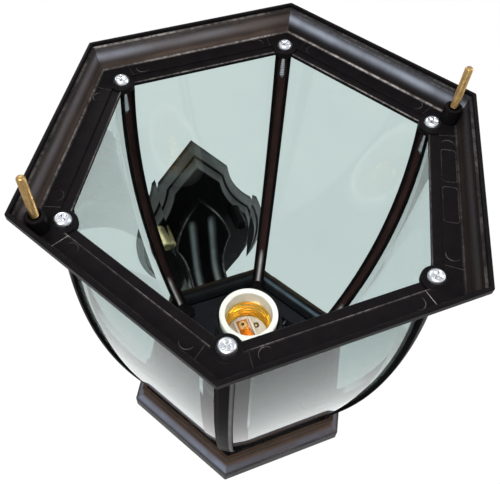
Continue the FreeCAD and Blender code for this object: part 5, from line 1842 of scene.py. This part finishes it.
@dataclass
class WallPlate:
    """Peaked and stepped wall plate with its barrel nuts.

    Attributes:
        half_outline: Corners of the right half as x and z from peak to tip, and the bow of the side that
            arrives there.
        side_points: Share of a side at its guard point and its first even point, and number of even points.
        hollow_inset: How far the hollow behind lies within the outline.
        hollow_guard: Distance of the ring that keeps the hollow's floor flat in the shading.
        mouth: Depth of the rings at the hollow's mouth and how far each lies outside the hollow.
        front_wall: Thickness of the front over the hollow.
        steps: Depth towards the room and inset of each ring, from the rim at the wall to the face.
        sheen: Depths of the painted reflection on the steps and its strength there.
        bare_rim: Depth below which the rim has no painted reflection.
        bronze_and_reflection_share: Brown rubbing that goes with each part of painted reflection.
        mount_spacing: Distance between the nuts.
        nut_radius: Radius of a nut.
        nut_length: Length of a nut.
        nut_groove: Start and end of the turned groove near the nut's seat, with its slopes, and its depth.
        nut_chamfer: Size of the chamfer at the nut's end.
        nut_edge: Radius of the nut's edges.
    """

    half_outline: tuple[Triple, ...] = (
        (0.0, 68.0, 0.0), (24.0, 36.0, 0.0), (43.0, -5.0, -3.5), (40.3, -69.0, 6.2), (0.0, -132.0, 0.0))
    side_points: tuple[float, float, int] = (0.01, 0.03, 24)
    hollow_inset: float = 6.6
    hollow_guard: float = 0.1
    mouth: tuple[Pair, ...] = ((0.2, 0.0), (0.05, 0.1), (0.0, 0.25))
    front_wall: float = 4.5
    steps: tuple[Pair, ...] = (
        (0.0, 0.6), (0.05, 0.2), (0.25, 0.05), (0.5, 0.0), (2.4, 0.0), (2.75, 0.06), (3.0, 0.3), (3.15, 0.6),
        (6.1, 4.0), (6.35, 4.3), (6.5, 4.6), (6.5, 5.6), (6.7, 5.9), (7.0, 6.1), (10.4, 8.5), (10.75, 8.8),
        (10.95, 9.2), (11.0, 9.8))
    sheen: tuple[Pair, ...] = (
        (2.9, 0.03), (3.1, 0.18), (6.3, 0.18), (6.5, 0.0), (6.9, 0.0), (7.1, 0.18), (10.5, 0.16), (10.9, 0.0))
    bare_rim: float = 1.0
    bronze_and_reflection_share: float = 1.2
    mount_spacing: float = 51.6
    nut_radius: float = 4.3
    nut_length: float = 17.0
    nut_groove: tuple[float, ...] = (2.2, 2.6, 3.2, 3.6, 0.4)
    nut_chamfer: float = 1.0
    nut_edge: float = 0.5

    def rim(self) -> tuple[np.ndarray, np.ndarray]:
        """Outline of the plate as x and z, and how each point moves when it is drawn in by one millimetre.

        A point moves by its side's inward normal plus a share of its tangent that runs evenly from the mitre
        of the side's first corner to that of its last, so that neighbouring sides stay joined.

        Returns:
            Points and their moves, one row each.
        """
        right = np.array(self.half_outline)
        left = np.column_stack([-right[-2:0:-1, 0], right[-2:0:-1, 1], right[:1:-1, 2]])
        ends, bow = np.split(np.vstack([right, left]), [2], axis=1)
        bow = bow[:, None, :]
        guard, start, count = self.side_points
        even = np.linspace(start, 1.0 - start, count)
        share = np.concatenate([[0.0, guard], even, [1.0 - guard, 1.0]])[None, :, None]
        first, chord = np.roll(ends, 1, axis=0)[:, None], (ends - np.roll(ends, 1, axis=0))[:, None]
        normal = np.stack([-chord[..., 1], chord[..., 0]], axis=-1)
        normal = normal / np.linalg.norm(chord, axis=-1, keepdims=True)
        points = first + chord * share + normal * 4.0 * bow * share * (1.0 - share)
        along = chord + normal * 4.0 * bow * (1.0 - 2.0 * share)
        along = along / np.linalg.norm(along, axis=-1, keepdims=True)
        inward = np.stack([along[..., 1], -along[..., 0]], axis=-1)
        before, after = np.roll(inward[:, -1], 1, axis=0), inward[:, 0]
        mitre = (before + after) / (1.0 + np.sum(before * after, axis=-1, keepdims=True))
        slide_first = np.sum(mitre * along[:, 0], axis=-1)[:, None, None]
        slide_last = np.sum(np.roll(mitre, -1, axis=0) * along[:, -1], axis=-1)[:, None, None]
        moves = inward + along * ((1.0 - share) * slide_first + share * slide_last)
        return points[:, 1:].reshape(-1, 2), moves[:, 1:].reshape(-1, 2)

    def plate(self) -> Skin:
        """Rings of the outline from the hollow's floor, round the rim and up the two steps to the face."""
        deep, inner = SIZES.plate_depth - self.front_wall, self.hollow_inset
        mouth = [(level, inner - outside) for level, outside in self.mouth]
        behind = ((deep, inner), (deep - self.hollow_guard, inner), *mouth)
        depth, inset = np.array([*behind, *self.steps]).T
        points, moves = self.rim()
        x, z = np.moveaxis(points[None] + moves[None] * inset[:, None, None], -1, 0)
        # Painted reflections on the faces of the steps, with brown rubbing alongside; none in the hollow or
        # on the rim by the wall.
        sheen = np.interp(depth, *np.array(self.sheen).T)
        sheen[(np.arange(len(depth)) < len(behind)) | (depth < self.bare_rim)] = 0.0
        marks = np.stack([self.bronze_and_reflection_share * sheen, sheen, np.zeros_like(sheen)], axis=-1)[:, None, :]
        grid = np.stack(np.broadcast_arrays(x, -depth[:, None], z), axis=-1)
        return woven(grid, wrap_columns=True, cap_rows=True, marks=marks)

    def nut(self, side: float) -> Skin:
        """Barrel nut on one side, with a rounded end and a turned groove near its seat."""
        r, end, chamfer = self.nut_radius, -self.nut_length, self.nut_chamfer
        start, low, high, stop, depth = self.nut_groove
        profile = np.array([(0.0, 0.0), (r, 0.0), (r, -start), (r - depth, -low), (r - depth, -high),
                            (r, -stop), (r, end + chamfer), (r - chamfer, end), (0.0, end)])
        profile = softened(profile, self.nut_edge, steps=4, closed=False)
        nut = lathe(profile, Round.BOSS, closed=False).to_room()
        return nut.moved(side * self.mount_spacing / 2.0, -SIZES.plate_depth, 0.0)

    def build(self, palette: Palette) -> None:
        """Makes the plate and its nuts, the right one painted over."""
        make_piece("backplate_casting", self.plate(), palette["plate"], ["wall_plate"],
                   sharp=28.0)
        make_piece("barrel_nut_bare", self.nut(-1.0), palette["nut"], ["barrel_nuts"])
        make_piece("barrel_nut_painted", self.nut(1.0), palette["plate"], ["barrel_nuts"])


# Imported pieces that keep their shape

KEPT = {
    "rib_screws": "zinc", "holder_strap": "zinc", "holder_screws": "zinc", "contact_base": "copper",
    "contact_eyelet": "nut", "side_rivet": "rivet", "nipple": "zinc", "nipple_nut_upper": "zinc",
    "nipple_nut_lower": "zinc", "lead_live": "brown", "lead_neutral": "blue", "arm_screws": "zinc",
    "wall_bracket": "zinc", "mounting_bolts": "zinc", "earth_screw": "nut",
}


def dress_kept(frame: dict, palette: Palette) -> None:
    """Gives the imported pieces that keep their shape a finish.

    Args:
        palette: Finishes of the lantern.
    """
    for node, finish in KEPT.items():
        piece = frame["nodes"][node]
        piece.data.materials.clear()
        piece.data.materials.append(palette[finish])
        LOG.info("%s keeps its packed shape", node)


# Studio

@dataclass
class Studio:
    """Pale floor, soft lamps and the photograph's camera.

    Attributes:
        place: Camera position in millimetres.
        target: Point that the optical axis meets, in millimetres.
        roll: Turn of the camera about its axis, in degrees.
        lens: Focal length in millimetres.
        sensor: Width of the sensor in millimetres.
        shift: Sideways and upward shift of the frame.
        clip: Nearest and farthest distance seen, in metres.
        ambient: Strength of the background's light on the object.
        floor: Level of the floor in metres.
        floor_half: Half its side in metres.
        floor_points: Points along its side.
        floor_grey: Its colour.
        floor_glow: How far it shows as plain white.
        aim: Point that the lamps face, in metres.
        lamps: Place, width and height in metres and power in watts of each lamp.
    """

    place: Triple = (-77.79, -269.81, 352.84)
    target: Triple = (-20.9, -139.2, 165.0)
    roll: float = 3.32
    lens: float = 45.32
    sensor: float = 36.0
    shift: Pair = (0.0130, -0.0432)
    clip: Pair = (0.01, 50.0)
    ambient: float = 0.66
    floor: float = -0.42
    floor_half: float = 6.0
    floor_points: int = 9
    floor_grey: Colour = (0.85, 0.85, 0.85, 1.0)
    floor_glow: float = 0.88
    aim: Triple = (0.0, -0.1, 0.05)
    lamps: dict[str, tuple[Triple, Pair, float]] = field(default_factory=lambda: {
        "key_box": ((-0.5, -0.5, 1.5), (0.8, 0.8), 22.0),
        "side_box": ((1.3, -0.2, 0.7), (0.5, 1.0), 8.0),
        "back_box": ((-0.2, 1.2, 0.9), (1.0, 0.4), 7.0)})

    def camera(self) -> None:
        """Sets the camera: its x axis is level, turned by the roll about the line of sight."""
        data = bpy.data.cameras.new("photo_camera")
        data.sensor_width, data.lens = self.sensor, self.lens
        data.shift_x, data.shift_y = self.shift
        data.clip_start, data.clip_end = self.clip
        ahead = (Vector(self.target) - Vector(self.place)).normalized()
        right = ahead.cross(Vector((0.0, 0.0, 1.0))).normalized()
        up = right.cross(ahead)
        angle = math.radians(self.roll)
        across = right * math.cos(angle) + up * math.sin(angle)
        above = up * math.cos(angle) - right * math.sin(angle)
        turn = Matrix((across, above, -ahead)).transposed().to_4x4()
        camera = in_scene("photo_camera", data)
        camera.matrix_world = Matrix.Translation(Vector(self.place) * MM) @ turn
        bpy.context.scene.camera = camera

    @staticmethod
    def _seen(sheet: NodeSheet) -> bpy.types.NodeSocket:
        """1 for camera, glossy and transmitted rays, which see the plain background."""
        path = sheet.add("LightPath")
        seen = sheet.math("MAXIMUM", path.outputs["Is Camera Ray"], path.outputs["Is Glossy Ray"])
        return sheet.math("MAXIMUM", seen, path.outputs["Is Transmission Ray"])

    def world(self) -> None:
        """White background with a softer light on the object."""
        world = bpy.data.worlds.new("studio")
        world.use_nodes = True
        bpy.context.scene.world = world
        sheet = NodeSheet(world.node_tree)
        rest = sheet.math("MULTIPLY", self._seen(sheet), 1.0 - self.ambient)
        sheet.feed(world.node_tree.nodes["Background"], Color=(1.0, 1.0, 1.0, 1.0),
                   Strength=sheet.math("ADD", self.ambient, rest))

    def ground(self) -> None:
        """Pale floor far below the lantern that shows white and keeps a shadow."""
        side = np.linspace(-self.floor_half, self.floor_half, self.floor_points)
        x, y = np.meshgrid(side, side, indexing="ij")
        mesh = new_mesh("studio_floor", woven(np.stack([x, y, np.full_like(x, self.floor)], axis=-1)), 1.0)
        material = bpy.data.materials.new("floor_white")
        material.use_nodes = True
        sheet, nodes = NodeSheet(material.node_tree), material.node_tree.nodes
        shader = sheet.feed(nodes["Principled BSDF"], Base_Color=self.floor_grey, Roughness=0.9,
                            Specular_IOR_Level=0.0)
        glow = sheet.add("Emission", Color=(1.0, 1.0, 1.0, 1.0), Strength=1.0)
        mix = sheet.add("MixShader", Fac=sheet.math("MULTIPLY", self._seen(sheet), self.floor_glow))
        sheet.link(shader.outputs[0], mix.inputs[1])
        sheet.link(glow.outputs[0], mix.inputs[2])
        sheet.feed(nodes["Material Output"], Surface=mix.outputs[0])
        mesh.materials.append(material)
        floor = in_scene("studio_floor", mesh)

    def lamp(self, name: str, place: Sequence[float], size: Pair, power: float) -> None:
        """Adds a soft box that faces the lantern.

        Args:
            name: Name of the lamp.
            place: Its position in metres.
            size: Width and height in metres.
            power: Power in watts.
        """
        data = bpy.data.lights.new(name, "AREA")
        data.shape, data.size, data.size_y = "RECTANGLE", size[0], size[1]
        data.energy = power
        lamp = in_scene(name, data)
        lamp.location = place
        lamp.rotation_mode = "QUATERNION"
        lamp.rotation_quaternion = (Vector(self.aim) - Vector(place)).to_track_quat("-Z", "Y")

    def build(self) -> None:
        """Sets camera, floor, world and lamps."""
        bpy.context.scene.view_settings.view_transform = "Standard"
        self.camera()
        self.world()
        self.ground()
        for name, (place, size, power) in self.lamps.items():
            self.lamp(name, place, size, power)


def corners(box: Sequence[Vector]) -> list[list[float]]:
    """Box as plain lists of numbers."""
    return [[round(float(value), 6) for value in corner] for corner in box]


def main() -> None:
    """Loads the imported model, dresses it and sets the studio."""
    logging.basicConfig(level=logging.INFO, format="%(name)s: %(message)s")
    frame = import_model()
    palette = Palette(Effects())
    for assembly in (TopRing(), Cage(), Foot(), LampHolder(), Arm(), WallPlate()):
        assembly.build(palette)
    dress_kept(frame, palette)
    Studio().build()


if __name__ == "__main__":
    main()
